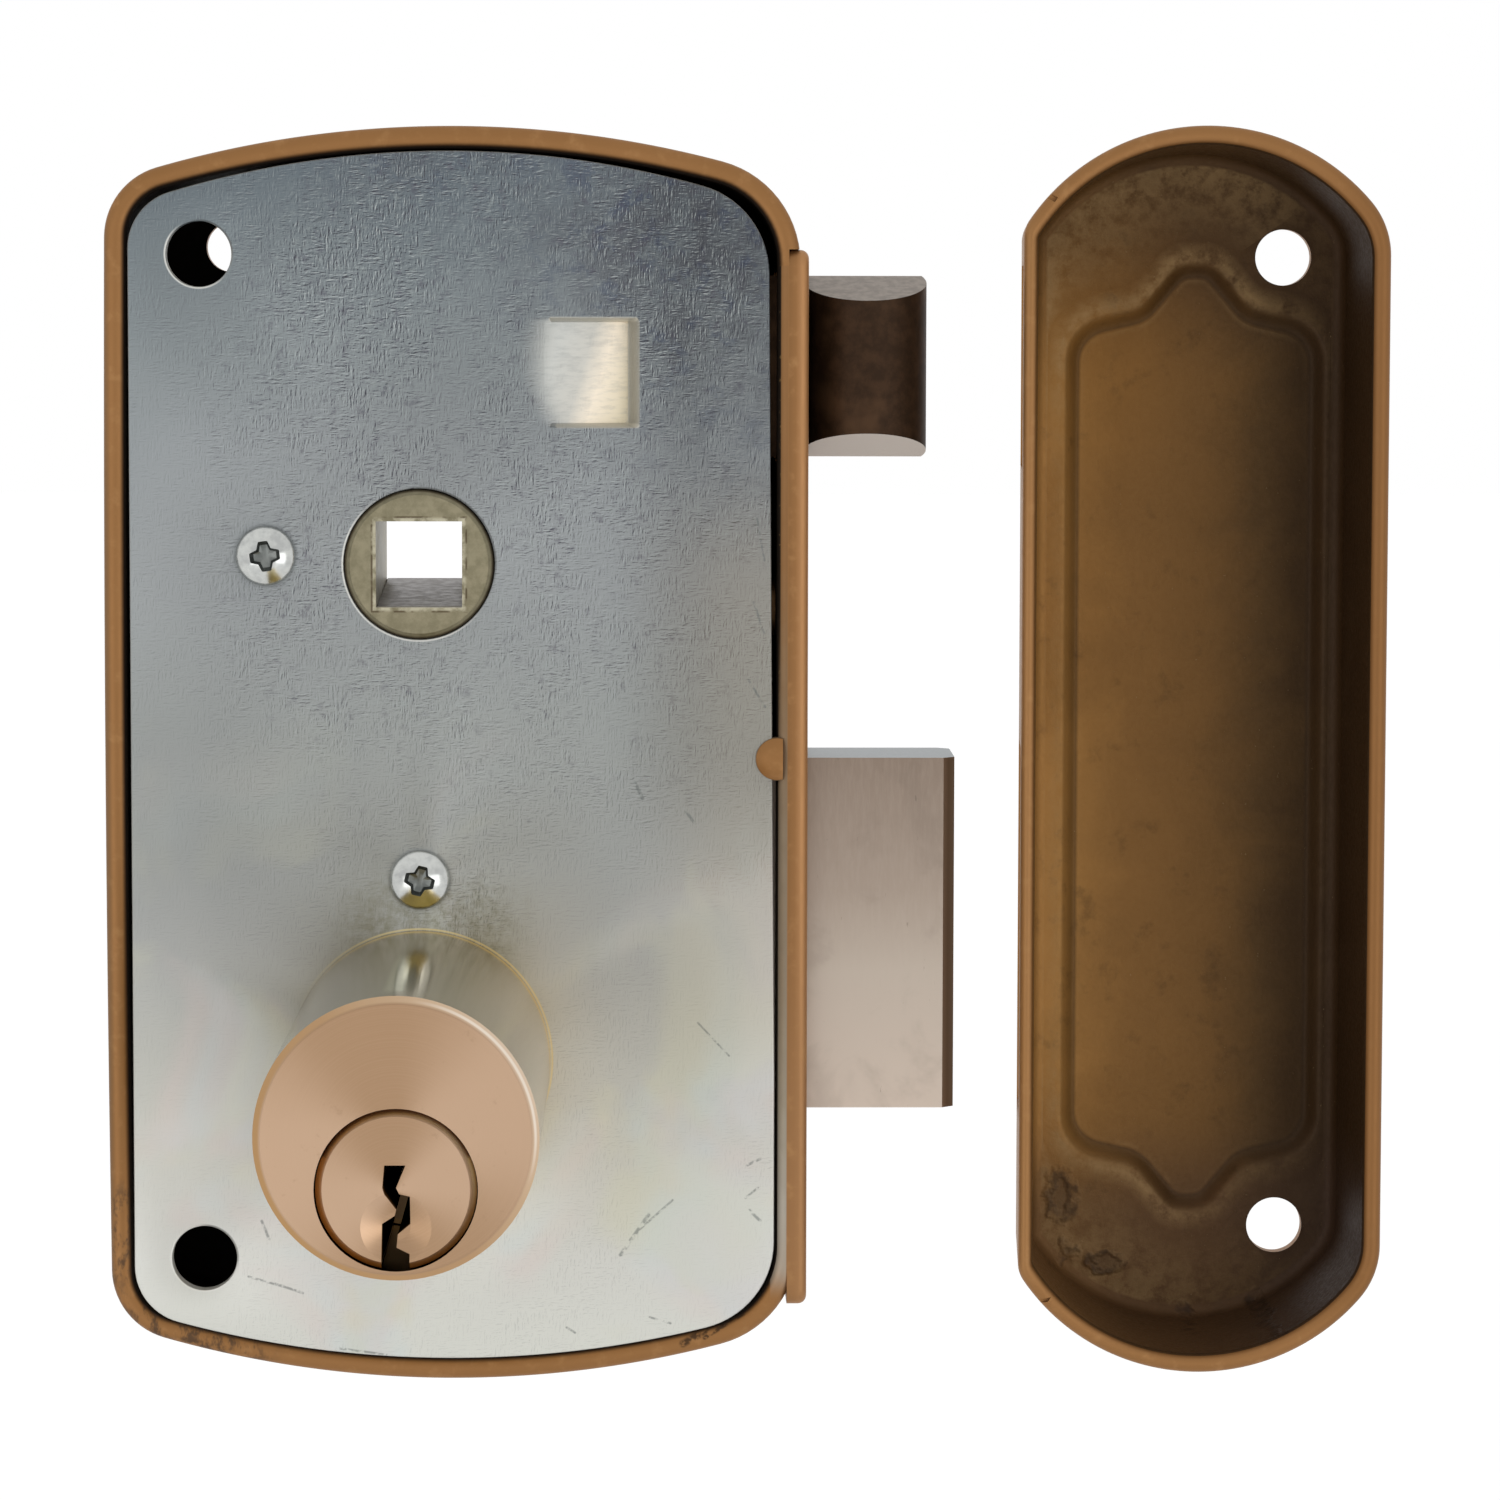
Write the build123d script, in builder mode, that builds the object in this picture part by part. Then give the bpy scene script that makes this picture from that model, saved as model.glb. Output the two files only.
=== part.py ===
from build123d import *
import math
import os

os.makedirs("parts", exist_ok=True)

# Rim box lock with its keep, laid out as seen from the door side. Millimetres.
# +X runs towards the faceplate and the bolts, +Z is up, +Y goes into the room.
# The origin is the axis of the outer cylinder where it leaves the mounting plate.

# Case: one drawn steel shell, open towards the door
case_left = 30.1
case_right = 35.2
case_seat_step = 1.1
case_top = 89.2
case_bottom = 31.1
case_depth = 19.5
case_end_radius = 102.0
case_side_bow = 0.3
case_corner_radius = 7.0
case_right_corner = 10.0
draft_angle = 3.0
rim_wall = 1.8
side_wall = 1.1
front_wall = 1.5
front_edge_radius = 3.0
rim_break = 0.5
stake_radius = 2.2
stake_height = 28.4
stake_thickness = 0.7

# Raised panel pressed into the covers of the case and the keep
panel_rise = 1.2
panel_slope = 1.6
panel_corner_radius = 2.2
case_panel_left = 18.6
case_panel_right = 22.6
case_panel_top = 69.5
case_panel_bottom = 11.0
panel_peak = 5.9
panel_foot_share = 0.46
panel_foot_rise_share = 0.26
panel_tip_share = 0.13

# Faceplate strip on the side that the bolts leave
faceplate_thickness = 1.9
faceplate_top = 77.5
faceplate_bottom = 23.9
faceplate_step = 0.3
faceplate_end_radius = 1.4
faceplate_edge_radius = 0.8
window_clearance = 0.3
rivet_radius = 1.5
rivet_head_radius = 2.7
rivet_head_height = 1.0
rivet_heights = (43.0, -14.0)

# Mounting plate and what fastens it
plate_thickness = 1.5
plate_gap = 0.5
plate_side_gap = 0.4
plate_edge_round = 0.25
post_spots = ((-14.6, 48.4), (0.0, 17.4))
post_radius = 3.4
neck_radius = 2.6
bush_radius = 4.2
screw_radius = 1.45
screw_clearance = 0.1
screw_length = 9.0
screw_head_radius = 2.8
screw_head_height = 1.5
screw_head_rim = 0.4
fit_gap = 0.05
running_gap = 0.1
side_gap = 0.3

# Ramp pressed into the mounting plate beside the latch
ramp_left = 11.9
ramp_right = 21.0
ramp_top = 71.05
ramp_bottom = 60.6
ramp_depth = 2.0
ramp_step = 1.1

# Fixing holes of the lock: wide in the plate, close in the cover
fixing_x = -20.8
fixing_low = -19.2
fixing_spacing = 96.2
plate_fixing_radius = 3.1
cover_fixing_radius = 2.4
cover_fixing_shift_x = 1.0
cover_fixing_shift_z = 0.6

# Follower, which the handle's square spindle turns
follower_x = 0.0
follower_z = 47.6
spindle_square = 8.2
journal_radius = 7.1
hub_radius = 8.2
journal_proud = 0.3
journal_edge = 0.5
arm_length = 17.0
arm_root_half = 3.5
arm_neck_half = 1.4
arm_neck_share = 0.85
arm_tip_radius = 2.0

# Latch bolt
latch_bottom = 57.6
latch_height = 17.5
latch_tip = 48.3
latch_throw = 11.0
latch_barrel_x = 42.8
latch_barrel_radius = 5.9
latch_barrel_depth = 9.4
latch_facet_depth = 11.5
latch_facet_slope = 0.3
latch_heel = 24.0
tail_thickness = 3.0
tail_slot_gap = 0.05
latch_tail_near = 9.5
latch_tail_left = -1.0
latch_tail_bottom = 61.5
latch_tail_height = 10.5
latch_tail_grip = 6.0
notch_gap = 0.5
latch_rod_radius = 1.4
latch_rod_length = 9.0
latch_rod_height = 7.0
latch_spring_radius = 2.3
latch_spring_wire = 0.35
latch_spring_turns = 7
latch_spring_flat_count = 6
latch_spring_reach = 21.0
spring_tab_thickness = 1.2
spring_tab_half = 4.0
guide_left = 24.8
guide_right = 31.5
guide_sheet = 1.2
guide_near = 9.5

# Deadbolt
bolt_bottom = -5.2
bolt_height = 34.0
bolt_tip = 51.4
bolt_near = 4.0
bolt_cover_gap = 2.0
bolt_heel = 27.2
bolt_throw = 14.3
bolt_tip_chamfer = 1.1
bolt_tail_near = 8.5
bolt_tail_left = -7.0
bolt_tail_bottom = -2.3
bolt_tail_top = 27.5
bolt_tail_grip = 5.6
bolt_rivet_inset = 2.8
bolt_rivet_heights = (4.0, 19.0)
drive_slot_gap = 0.6

# Leaf spring that brakes the deadbolt's tail
leaf_thickness = 0.5
leaf_width = 5.0
leaf_low = 21.8
leaf_foot_left = -14.0
leaf_foot_right = -9.5
leaf_bow_left = -3.0
leaf_bow_right = 4.0
leaf_end = 8.5
leaf_lift = 2.0
leaf_bend_radius = 1.5

# Cylinders: a body with an eccentric plug, outer and inner alike
cylinder_radius = 12.5
cylinder_length = 50.0
cylinder_edge = 0.7
plug_radius = 7.05
plug_drop = 4.45
plug_edge = 0.6
pin_radius = 1.4
chamber_gap = 0.1
pin_pitch = 4.0
first_pin = 5.5
outer_pin_count = 5
inner_pin_count = 3
driver_length = 4.4
shear_gap = 0.2
cap_length = 1.6
pin_land = 0.05
pin_cone = 1.0
pin_hole_floor = 0.5
spring_wall = 0.3
spring_slack = 0.1
pin_tip_share = 0.4
key_pin_lengths = (5.2, 6.1, 4.9, 5.7, 5.3)
keyway_width = 2.5
keyway_length = 24.0
dimple_radius = 3.1
dimple_drop = 3.3
dimple_depth = 0.9
dimple_throat_share = 0.4
spigot_radius = 5.0
spigot_length = 3.1
thrust_gap = 0.3
cylinder_screw_x = 8.2
cylinder_screw_z = 4.6
cylinder_screw_radius = 1.95
cylinder_screw_length = 10.0
cylinder_screw_head = 3.4
cylinder_screw_head_height = 2.2

# Crank on the outer plug, whose pin drives the deadbolt
crank_length = 9.5
crank_hub_radius = 7.8
crank_arm_radius = 2.2
crank_arm_thickness = 3.0
crank_near = 1.8
drive_pin_radius = 1.5
drive_pin_length = 3.6
crank_screw_radius = 1.95
crank_screw_length = 13.0
crank_screw_head = 3.7

# Inner cylinder, held by its ears inside the cover
inner_near = 12.9
inner_length = 14.1
inner_first_pin = 3.2
inner_key_depth = 12.5
inner_ear_reach = 15.5
inner_ear_half = 4.0
inner_ear_thickness = 1.6
clip_radius = 8.6
clip_bore = 6.4
clip_mouth = 9.0
clip_thickness = 0.5

# Keep: a second drawn shell that takes the bolts
keep_left = 57.5
keep_right = 92.6
keep_top = 89.4
keep_bottom = 30.6
keep_depth = 19.5
keep_end_radius = 20.6
keep_left_corner = 3.0
keep_right_corner = 8.0
keep_wall = 1.4
keep_front_edge = 2.8
keep_panel_left = 64.2
keep_panel_right = 87.1
keep_hole_x = 84.2
keep_hole_low = -19.1
keep_hole_spacing = 96.1
keep_hole_radius = 2.75
keep_window_gap = 1.0
keep_window_near = 3.0

overrun = 1.0

# Shares of the keyway's width and of the plug's radius that give its warded outline
keyway_shares = (
    (-0.40, 0.31), (-0.47, 0.03), (-0.40, -0.05), (0.0, -0.26), (-0.06, -0.34), (-0.50, -0.44),
    (-0.52, -1.10), (0.47, -1.10), (0.47, -0.80), (0.01, -0.73), (0.05, -0.57), (0.49, -0.44),
    (0.49, -0.08), (0.12, -0.05), (0.01, 0.03), (0.34, 0.31),
)


def face_plane(depth):
    """Plane parallel to the door at a depth, with X across and Z up."""
    return Plane.XZ.offset(-depth)


def rod(x, z, radius, near, far, mode=Mode.ADD):
    """Round bar or hole square to the door, from one depth to another."""
    with BuildSketch(face_plane(near)) as section:
        with Locations((x, z)):
            Circle(radius)
    extrude(section.sketch, amount=near - far, mode=mode)


def slab(left, right, bottom, top, near, far, mode=Mode.ADD):
    """Square-cornered block or window, from one depth to another."""
    with BuildSketch(face_plane(near)) as section:
        with Locations(((left + right) / 2, (bottom + top) / 2)):
            Rectangle(right - left, top - bottom)
    extrude(section.sketch, amount=near - far, mode=mode)


def lean_at(depth):
    """How far a drafted wall has come in at a depth."""
    return depth * math.tan(math.radians(draft_angle))


def arc_drop(radius, half_width):
    """Height that an end arc loses between its top and its sides."""
    return radius - math.sqrt(radius**2 - half_width**2)


def case_outline(depth, inset=0, side_inset=0, lean=0):
    """Outline of the case, drawn in from its rim. Its right side stands square."""
    left = -case_left + inset + lean
    right = case_reach - side_inset
    top = case_top - inset - lean
    bottom = -case_bottom + inset + lean
    middle = (left + right) / 2
    drop = arc_drop(case_end_radius, (right - left) / 2)
    corners = (
        (left + case_side_bow, top - drop),
        (right, top - drop),
        (right, bottom + drop),
        (left + case_side_bow, bottom + drop),
    )
    with BuildSketch(face_plane(depth)) as outline:
        with BuildLine():
            ThreePointArc(corners[0], (middle, top), corners[1])
            Line(corners[1], corners[2])
            ThreePointArc(corners[2], (middle, bottom), corners[3])
            ThreePointArc(corners[3], (left, (top + bottom) / 2), corners[0])
        make_face()
        sides = outline.vertices().group_by(Axis.X)
        fillet(sides[-1], case_right_corner - inset - lean)
        fillet(outline.vertices().group_by(Axis.X)[0], case_corner_radius - inset - lean)
    return outline.sketch


def keep_outline(depth, inset=0, lean=0):
    """Outline of the keep: straight sides and nearly half-round ends."""
    left = keep_left + inset + lean
    right = keep_right - inset - lean
    top = keep_top - inset - lean
    bottom = -keep_bottom + inset + lean
    middle = (left + right) / 2
    drop = arc_drop(keep_end_radius - inset - lean, (right - left) / 2)
    with BuildSketch(face_plane(depth)) as outline:
        with BuildLine():
            ThreePointArc((left, top - drop), (middle, top), (right, top - drop))
            Line((right, top - drop), (right, bottom + drop))
            ThreePointArc((right, bottom + drop), (middle, bottom), (left, bottom + drop))
            Line((left, bottom + drop), (left, top - drop))
        make_face()
        sides = outline.vertices().group_by(Axis.X)
        fillet(sides[-1], keep_right_corner - inset - lean)
        fillet(outline.vertices().group_by(Axis.X)[0], keep_left_corner - inset)
    return outline.sketch


def panel_outline(depth, left, right, bottom, top, grow):
    """Outline of the raised panel: straight sides with an ogee at each end."""
    middle = (left + right) / 2
    half = (right - left) / 2
    end = (
        (-half - grow, 0),
        (-half * panel_foot_share, panel_peak * panel_foot_rise_share),
        (-half * panel_tip_share, panel_peak),
        (half * panel_tip_share, panel_peak),
        (half * panel_foot_share, panel_peak * panel_foot_rise_share),
        (half + grow, 0),
    )
    upper = [(middle + x, top + grow + z) for x, z in end]
    lower = [(middle - x, bottom - grow - z) for x, z in end]
    with BuildSketch(face_plane(depth)) as outline:
        with BuildLine():
            Polyline(*upper, *lower, close=True)
        make_face()
        fillet(outline.vertices(), panel_corner_radius)
    return outline.sketch


def press_panel(depth, wall, left, right, bottom, top):
    """Press a panel outwards in a cover, inside and outside alike."""
    edge = (left, right, bottom, top)
    foot, head = panel_outline(depth, *edge, panel_slope), panel_outline(depth + panel_rise, *edge, 0)
    loft([foot, head])
    foot = panel_outline(depth - wall, *edge, panel_slope)
    head = panel_outline(depth - wall + panel_rise, *edge, 0)
    loft([foot, head], mode=Mode.SUBTRACT)


def turned(points, x, z):
    """Turn a half profile, given as radius and depth, about an axis square to the door."""
    with BuildSketch(Plane.XY.offset(z)) as section:
        with BuildLine():
            Polyline(*[(x + radius, depth) for radius, depth in points], close=True)
        make_face()
    revolve(section.sketch, Axis((x, 0, z), (0, 1, 0)))


def finish(piece, name):
    """Label a finished piece and write it under its name."""
    piece.part.label = name
    export_step(piece.part, f"parts/{name}.step")


# Places that several pieces share
plate_back = plate_thickness
cover_inside = case_depth - front_wall
panel_inside = cover_inside + panel_rise
panel_face = case_depth + panel_rise
face_outside = case_right + faceplate_thickness
case_reach = case_right + case_seat_step
seat_inset = case_seat_step + side_wall
latch_top = latch_bottom + latch_height
bolt_top = bolt_bottom + bolt_height
bolt_back = cover_inside - bolt_cover_gap
latch_back = cover_inside - bolt_cover_gap
faceplate_depth = case_depth - faceplate_step
fixing_heights = (fixing_low, fixing_low + fixing_spacing)
plug_z = -plug_drop
latch_near = latch_barrel_depth - latch_barrel_radius
bolt_tail_far = bolt_tail_near + tail_thickness
latch_tail_far = latch_tail_near + tail_thickness
latch_tail_top = latch_tail_bottom + latch_tail_height
inner_face = inner_near + inner_length
arm_rest_angle = math.degrees(math.asin(latch_throw / 2 / arm_length))
crank_rest_angle = math.degrees(math.asin(bolt_throw / 2 / crank_length))
bore_radius = plug_radius + running_gap
chamber_radius = pin_radius + chamber_gap

# Case cover: drafted shell, raised panel, holes for the handle, key and screws
rim_inset = rim_wall - rim_break
side_inset = seat_inset - rim_break
with BuildPart() as case_hollow:
    loft(
        [
            case_outline(-overrun, rim_inset, side_inset),
            case_outline(0, rim_inset, side_inset),
            case_outline(rim_break, rim_wall, seat_inset, lean_at(rim_break)),
            case_outline(cover_inside, rim_wall, seat_inset, lean_at(cover_inside)),
        ],
        ruled=True,
    )
    hollow_end = case_hollow.faces().sort_by(Axis.Y)[-1]
    fillet(hollow_end.edges(), front_edge_radius - front_wall)

with BuildPart() as case_cover:
    loft(
        [
            case_outline(0, rim_break, rim_break),
            case_outline(rim_break, lean=lean_at(rim_break)),
            case_outline(case_depth, lean=lean_at(case_depth)),
        ],
        ruled=True,
    )
    fillet(case_cover.faces().sort_by(Axis.Y)[-1].edges(), front_edge_radius)
    add(case_hollow.part, mode=Mode.SUBTRACT)
    # Flat seat between the rim's corners, in which the faceplate lies
    slab(
        case_right, case_reach + overrun, -faceplate_bottom - fit_gap, faceplate_top + fit_gap,
        -overrun, case_depth + overrun, Mode.SUBTRACT,
    )
    press_panel(
        case_depth, front_wall, -case_panel_left, case_panel_right, -case_panel_bottom, case_panel_top
    )
    for height in fixing_heights:
        rod(
            fixing_x + cover_fixing_shift_x, height + cover_fixing_shift_z, cover_fixing_radius,
            cover_inside - overrun, panel_face + overrun, Mode.SUBTRACT,
        )
    rod(
        follower_x, follower_z, journal_radius + running_gap,
        cover_inside, panel_face + overrun, Mode.SUBTRACT,
    )
    rod(0, 0, cylinder_radius + fit_gap, cover_inside, panel_face + overrun, Mode.SUBTRACT)
    for bottom, top, near, far in (
        (latch_bottom, latch_top, latch_near, latch_back),
        (bolt_bottom, bolt_top, bolt_near, bolt_back),
    ):
        slab(
            case_right - side_wall - overrun, case_right + overrun,
            bottom - window_clearance, top + window_clearance,
            near - window_clearance, far + window_clearance, Mode.SUBTRACT,
        )
    for height in rivet_heights:
        with BuildSketch(Plane.YZ.offset(case_right - side_wall - overrun)):
            with Locations((faceplate_depth / 2, height)):
                Circle(rivet_radius)
        extrude(amount=side_wall + 2 * overrun, mode=Mode.SUBTRACT)
    # Round stake on the rim that laps over the mounting plate's edge
    with BuildSketch(face_plane(-stake_thickness)):
        with Locations((case_right - side_wall, stake_height)):
            Circle(stake_radius)
        with Locations((case_right + stake_radius, stake_height)):
            Rectangle(2 * stake_radius, 2 * stake_radius, mode=Mode.SUBTRACT)
    extrude(amount=-stake_thickness)
    slab(
        case_right - side_wall, case_right - fit_gap, stake_height - stake_radius + rim_break,
        stake_height + stake_radius - rim_break, 0, rim_break + fit_gap,
    )
finish(case_cover, "case_cover")

# Faceplate: a strip with rounded ends, riveted to the case's square side
with BuildPart() as faceplate:
    with BuildSketch(Plane.YZ.offset(case_right)):
        with Locations((faceplate_depth / 2, (faceplate_top - faceplate_bottom) / 2)):
            RectangleRounded(
                faceplate_depth, faceplate_top + faceplate_bottom, faceplate_end_radius
            )
    extrude(amount=faceplate_thickness)
    fillet(faceplate.faces().sort_by(Axis.X)[-1].edges(), faceplate_edge_radius)
    for bottom, top, near, far in (
        (latch_bottom, latch_top, latch_near, latch_back),
        (bolt_bottom, bolt_top, bolt_near, bolt_back),
    ):
        slab(
            case_right - overrun, face_outside + overrun,
            bottom - window_clearance, top + window_clearance,
            near - window_clearance, far + window_clearance, Mode.SUBTRACT,
        )
    for height in rivet_heights:
        with BuildSketch(Plane.YZ.offset(case_right - overrun)):
            with Locations((faceplate_depth / 2, height)):
                Circle(rivet_radius)
        extrude(amount=faceplate_thickness + 2 * overrun, mode=Mode.SUBTRACT)
        with BuildSketch(Plane.YZ.offset(face_outside)):
            with Locations((faceplate_depth / 2, height)):
                Circle(rivet_head_radius)
        with BuildSketch(Plane.YZ.offset(face_outside - rivet_head_height)):
            with Locations((faceplate_depth / 2, height)):
                Circle(rivet_radius)
        loft(mode=Mode.SUBTRACT)
finish(faceplate, "faceplate")

# Rivets: countersunk flush in the faceplate, closed by a flat head inside the case
with BuildPart() as faceplate_rivets:
    for height in rivet_heights:
        with BuildSketch(Plane.YZ.offset(case_right - side_wall - rivet_head_height)):
            with Locations((faceplate_depth / 2, height)):
                Circle(rivet_head_radius)
        extrude(amount=rivet_head_height)
        with BuildSketch(Plane.YZ.offset(case_right - side_wall)):
            with Locations((faceplate_depth / 2, height)):
                Circle(rivet_radius)
        extrude(amount=side_wall + faceplate_thickness)
        with BuildSketch(Plane.YZ.offset(face_outside)):
            with Locations((faceplate_depth / 2, height)):
                Circle(rivet_head_radius)
        with BuildSketch(Plane.YZ.offset(face_outside - rivet_head_height)):
            with Locations((faceplate_depth / 2, height)):
                Circle(rivet_radius)
        loft()
finish(faceplate_rivets, "faceplate_rivets")

# Mounting plate: closes the case towards the door
with BuildPart() as mounting_plate:
    extrude(
        case_outline(0, rim_wall + plate_gap, seat_inset + plate_side_gap), amount=-plate_thickness
    )
    fillet(mounting_plate.faces().sort_by(Axis.Y)[0].edges(), plate_edge_round)
    # The ramp is sunk from the front and stands out behind by the sheet's thickness
    with BuildSketch(Plane.XY.offset(ramp_bottom - plate_thickness / 2)):
        with BuildLine():
            Polyline(
                (ramp_left, plate_back),
                (ramp_right - ramp_step, plate_back + ramp_depth),
                (ramp_right, plate_back + ramp_depth),
                (ramp_right + ramp_step, plate_back),
                close=True,
            )
        make_face()
    extrude(amount=ramp_top - ramp_bottom + plate_thickness)
    with BuildSketch(Plane.XY.offset(ramp_bottom)):
        with BuildLine():
            Polyline(
                (ramp_left, 0), (ramp_right - ramp_step, ramp_depth), (ramp_right, 0), close=True
            )
        make_face()
    extrude(amount=ramp_top - ramp_bottom, mode=Mode.SUBTRACT)
    for height in fixing_heights:
        rod(fixing_x, height, plate_fixing_radius, -overrun, plate_back + overrun, Mode.SUBTRACT)
    rod(
        follower_x, follower_z, journal_radius + running_gap,
        -overrun, plate_back + overrun, Mode.SUBTRACT,
    )
    for x, z in post_spots:
        rod(x, z, screw_radius + screw_clearance, -overrun, plate_back + overrun, Mode.SUBTRACT)
    rod(0, plug_z, spigot_radius + drive_slot_gap, -overrun, plate_back + overrun, Mode.SUBTRACT)
    for x in (-cylinder_screw_x, cylinder_screw_x):
        rod(
            x, cylinder_screw_z, cylinder_screw_radius + screw_clearance,
            -overrun, plate_back + overrun, Mode.SUBTRACT,
        )
finish(mounting_plate, "mounting_plate")

# Domed screws that hold the plate to the posts
with BuildPart() as plate_screws:
    for x, z in post_spots:
        with BuildSketch(Plane.XY.offset(z)) as screw_half:
            with BuildLine():
                Line((x, -screw_head_height), (x, screw_length))
                Line((x, screw_length), (x + screw_radius, screw_length))
                Line((x + screw_radius, screw_length), (x + screw_radius, 0))
                Line((x + screw_radius, 0), (x + screw_head_radius, 0))
                Line((x + screw_head_radius, 0), (x + screw_head_radius, -screw_head_rim))
                TangentArc(
                    (x, -screw_head_height), (x + screw_head_radius, -screw_head_rim),
                    tangent=(screw_head_radius, 0),
                )
            make_face()
        revolve(screw_half.sketch, Axis((x, 0, z), (0, 1, 0)))
finish(plate_screws, "plate_screws")

# Posts between the cover and the plate; the lower one guides the deadbolt's tail
with BuildPart() as plate_posts:
    for x, z in post_spots:
        neck = post_radius if x else neck_radius
        step = bolt_tail_far + side_gap
        rod(x, z, post_radius, step, panel_inside)
        rod(x, z, neck, plate_back, step)
        rod(x, z, screw_radius + fit_gap, plate_back, screw_length + overrun, Mode.SUBTRACT)
finish(plate_posts, "plate_posts")

# Bush that keeps the tail off the mounting plate
with BuildPart() as post_bush:
    x, z = post_spots[-1]
    rod(x, z, bush_radius, plate_back, bolt_tail_near - side_gap)
    rod(x, z, neck_radius + fit_gap, plate_back, bolt_tail_near - side_gap, Mode.SUBTRACT)
finish(post_bush, "post_bush")

# Latch guide: a bent bracket on the cover that embraces the latch above and below
with BuildPart() as latch_guide:
    ear_low = latch_bottom - side_gap - guide_sheet
    ear_high = latch_top + side_gap + guide_sheet
    slab(guide_left, guide_right, ear_low, ear_high, guide_near, cover_inside)
    slab(
        guide_left - overrun, guide_right + overrun, latch_bottom - side_gap, latch_top + side_gap,
        guide_near - overrun, latch_back + side_gap, Mode.SUBTRACT,
    )
finish(latch_guide, "latch_guide")

# Latch bolt: half-round nose towards the door, facets above and below, slotted for its tail
with BuildPart() as latch_bolt:
    rise = math.sqrt(latch_barrel_radius**2 - (latch_facet_depth - latch_barrel_depth) ** 2)
    with BuildSketch(Plane.XY.offset(latch_bottom)):
        with BuildLine():
            Polyline(
                (latch_barrel_x - latch_barrel_radius, latch_barrel_depth),
                (latch_heel, latch_barrel_depth),
                (latch_heel, latch_back),
                (latch_tip, latch_back),
                (latch_tip, latch_facet_depth),
                (latch_barrel_x + rise, latch_facet_depth),
            )
            ThreePointArc(
                (latch_barrel_x + rise, latch_facet_depth),
                (latch_barrel_x, latch_near),
                (latch_barrel_x - latch_barrel_radius, latch_barrel_depth),
            )
        make_face()
    extrude(amount=latch_height)
    for level, way in ((latch_top, -1), (latch_bottom, 1)):
        reach = latch_facet_depth - latch_near + overrun
        with BuildSketch(Plane.YZ.offset(latch_barrel_x - latch_barrel_radius)):
            with BuildLine():
                Polyline(
                    (latch_facet_depth, level),
                    (latch_facet_depth - reach, level + way * reach * latch_facet_slope),
                    (latch_facet_depth - reach, level),
                    close=True,
                )
            make_face()
        extrude(amount=latch_tip, mode=Mode.SUBTRACT)
    slab(
        latch_heel - overrun, latch_heel + latch_tail_grip,
        latch_tail_bottom - tail_slot_gap, latch_tail_top + tail_slot_gap,
        latch_tail_near - tail_slot_gap, latch_tail_far + tail_slot_gap, Mode.SUBTRACT,
    )
finish(latch_bolt, "latch_bolt")

# Latch tail: notched for the follower's arm, with a rod for its spring
tip_x = follower_x + arm_length * math.sin(math.radians(arm_rest_angle))
notch_half = arm_tip_radius + notch_gap
notch_top = follower_z + arm_length + notch_half
with BuildPart() as latch_tail:
    slab(
        latch_tail_left, latch_heel + latch_tail_grip, latch_tail_bottom, latch_tail_top,
        latch_tail_near, latch_tail_far,
    )
    slab(
        tip_x - notch_half, tip_x + notch_half, latch_tail_bottom - overrun, notch_top,
        latch_tail_near - overrun, latch_tail_far + overrun, Mode.SUBTRACT,
    )
    spring_z = latch_tail_bottom + latch_rod_height
    spring_y = latch_tail_near + tail_thickness / 2
    with BuildSketch(Plane.YZ.offset(latch_tail_left - latch_rod_length)):
        with Locations((spring_y, spring_z)):
            Circle(latch_rod_radius)
    extrude(amount=latch_rod_length)
finish(latch_tail, "latch_tail")

# Tab on the cover that the latch spring pushes against
tab_right = latch_tail_left - latch_spring_reach
with BuildPart() as spring_tab:
    slab(
        tab_right - spring_tab_thickness, tab_right, spring_z - spring_tab_half,
        spring_z + spring_tab_half, spring_y - spring_tab_half, cover_inside,
    )
finish(spring_tab, "spring_tab")

# Latch spring: a coil between the tab and the tail's shoulder
with BuildPart() as latch_spring:
    coil_length = latch_spring_reach - 2 * latch_spring_wire - 2 * side_gap
    coil_start = tab_right + latch_spring_wire + side_gap
    coil_centre = (coil_start, spring_y, spring_z)
    with BuildLine() as coil:
        Helix(
            pitch=coil_length / latch_spring_turns, height=coil_length,
            radius=latch_spring_radius, center=coil_centre, direction=(1, 0, 0),
        )
    with BuildSketch(Plane(coil.line @ 0, z_dir=coil.line % 0)):
        RegularPolygon(latch_spring_wire, latch_spring_flat_count)
    sweep(path=coil.line)
finish(latch_spring, "latch_spring")

# Follower: hub with a square bore, journals in plate and cover, and the arm that draws the latch
with BuildPart() as follower:
    rod(follower_x, follower_z, journal_radius, -journal_proud, panel_face + journal_proud)
    ends = follower.edges().group_by(Axis.Y)
    chamfer(ends[0] + ends[-1], journal_edge)
    rod(
        follower_x, follower_z, hub_radius,
        plate_back + side_gap, panel_inside - side_gap,
    )
    arm_plane = Plane(
        (follower_x, latch_tail_near, follower_z),
        x_dir=(
            math.cos(math.radians(arm_rest_angle)), 0, -math.sin(math.radians(arm_rest_angle))
        ),
        z_dir=(0, -1, 0),
    )
    with BuildSketch(arm_plane):
        with BuildLine():
            Polyline(
                (-arm_root_half, 0), (arm_root_half, 0),
                (arm_neck_half, arm_length * arm_neck_share), (arm_neck_half, arm_length),
                (-arm_neck_half, arm_length), (-arm_neck_half, arm_length * arm_neck_share),
                close=True,
            )
        make_face()
        with Locations((0, arm_length)):
            Circle(arm_tip_radius)
    extrude(amount=-tail_thickness)
    slab(
        follower_x - spindle_square / 2, follower_x + spindle_square / 2,
        follower_z - spindle_square / 2, follower_z + spindle_square / 2,
        -journal_proud - overrun, panel_face + journal_proud + overrun, Mode.SUBTRACT,
    )
finish(follower, "follower")

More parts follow.
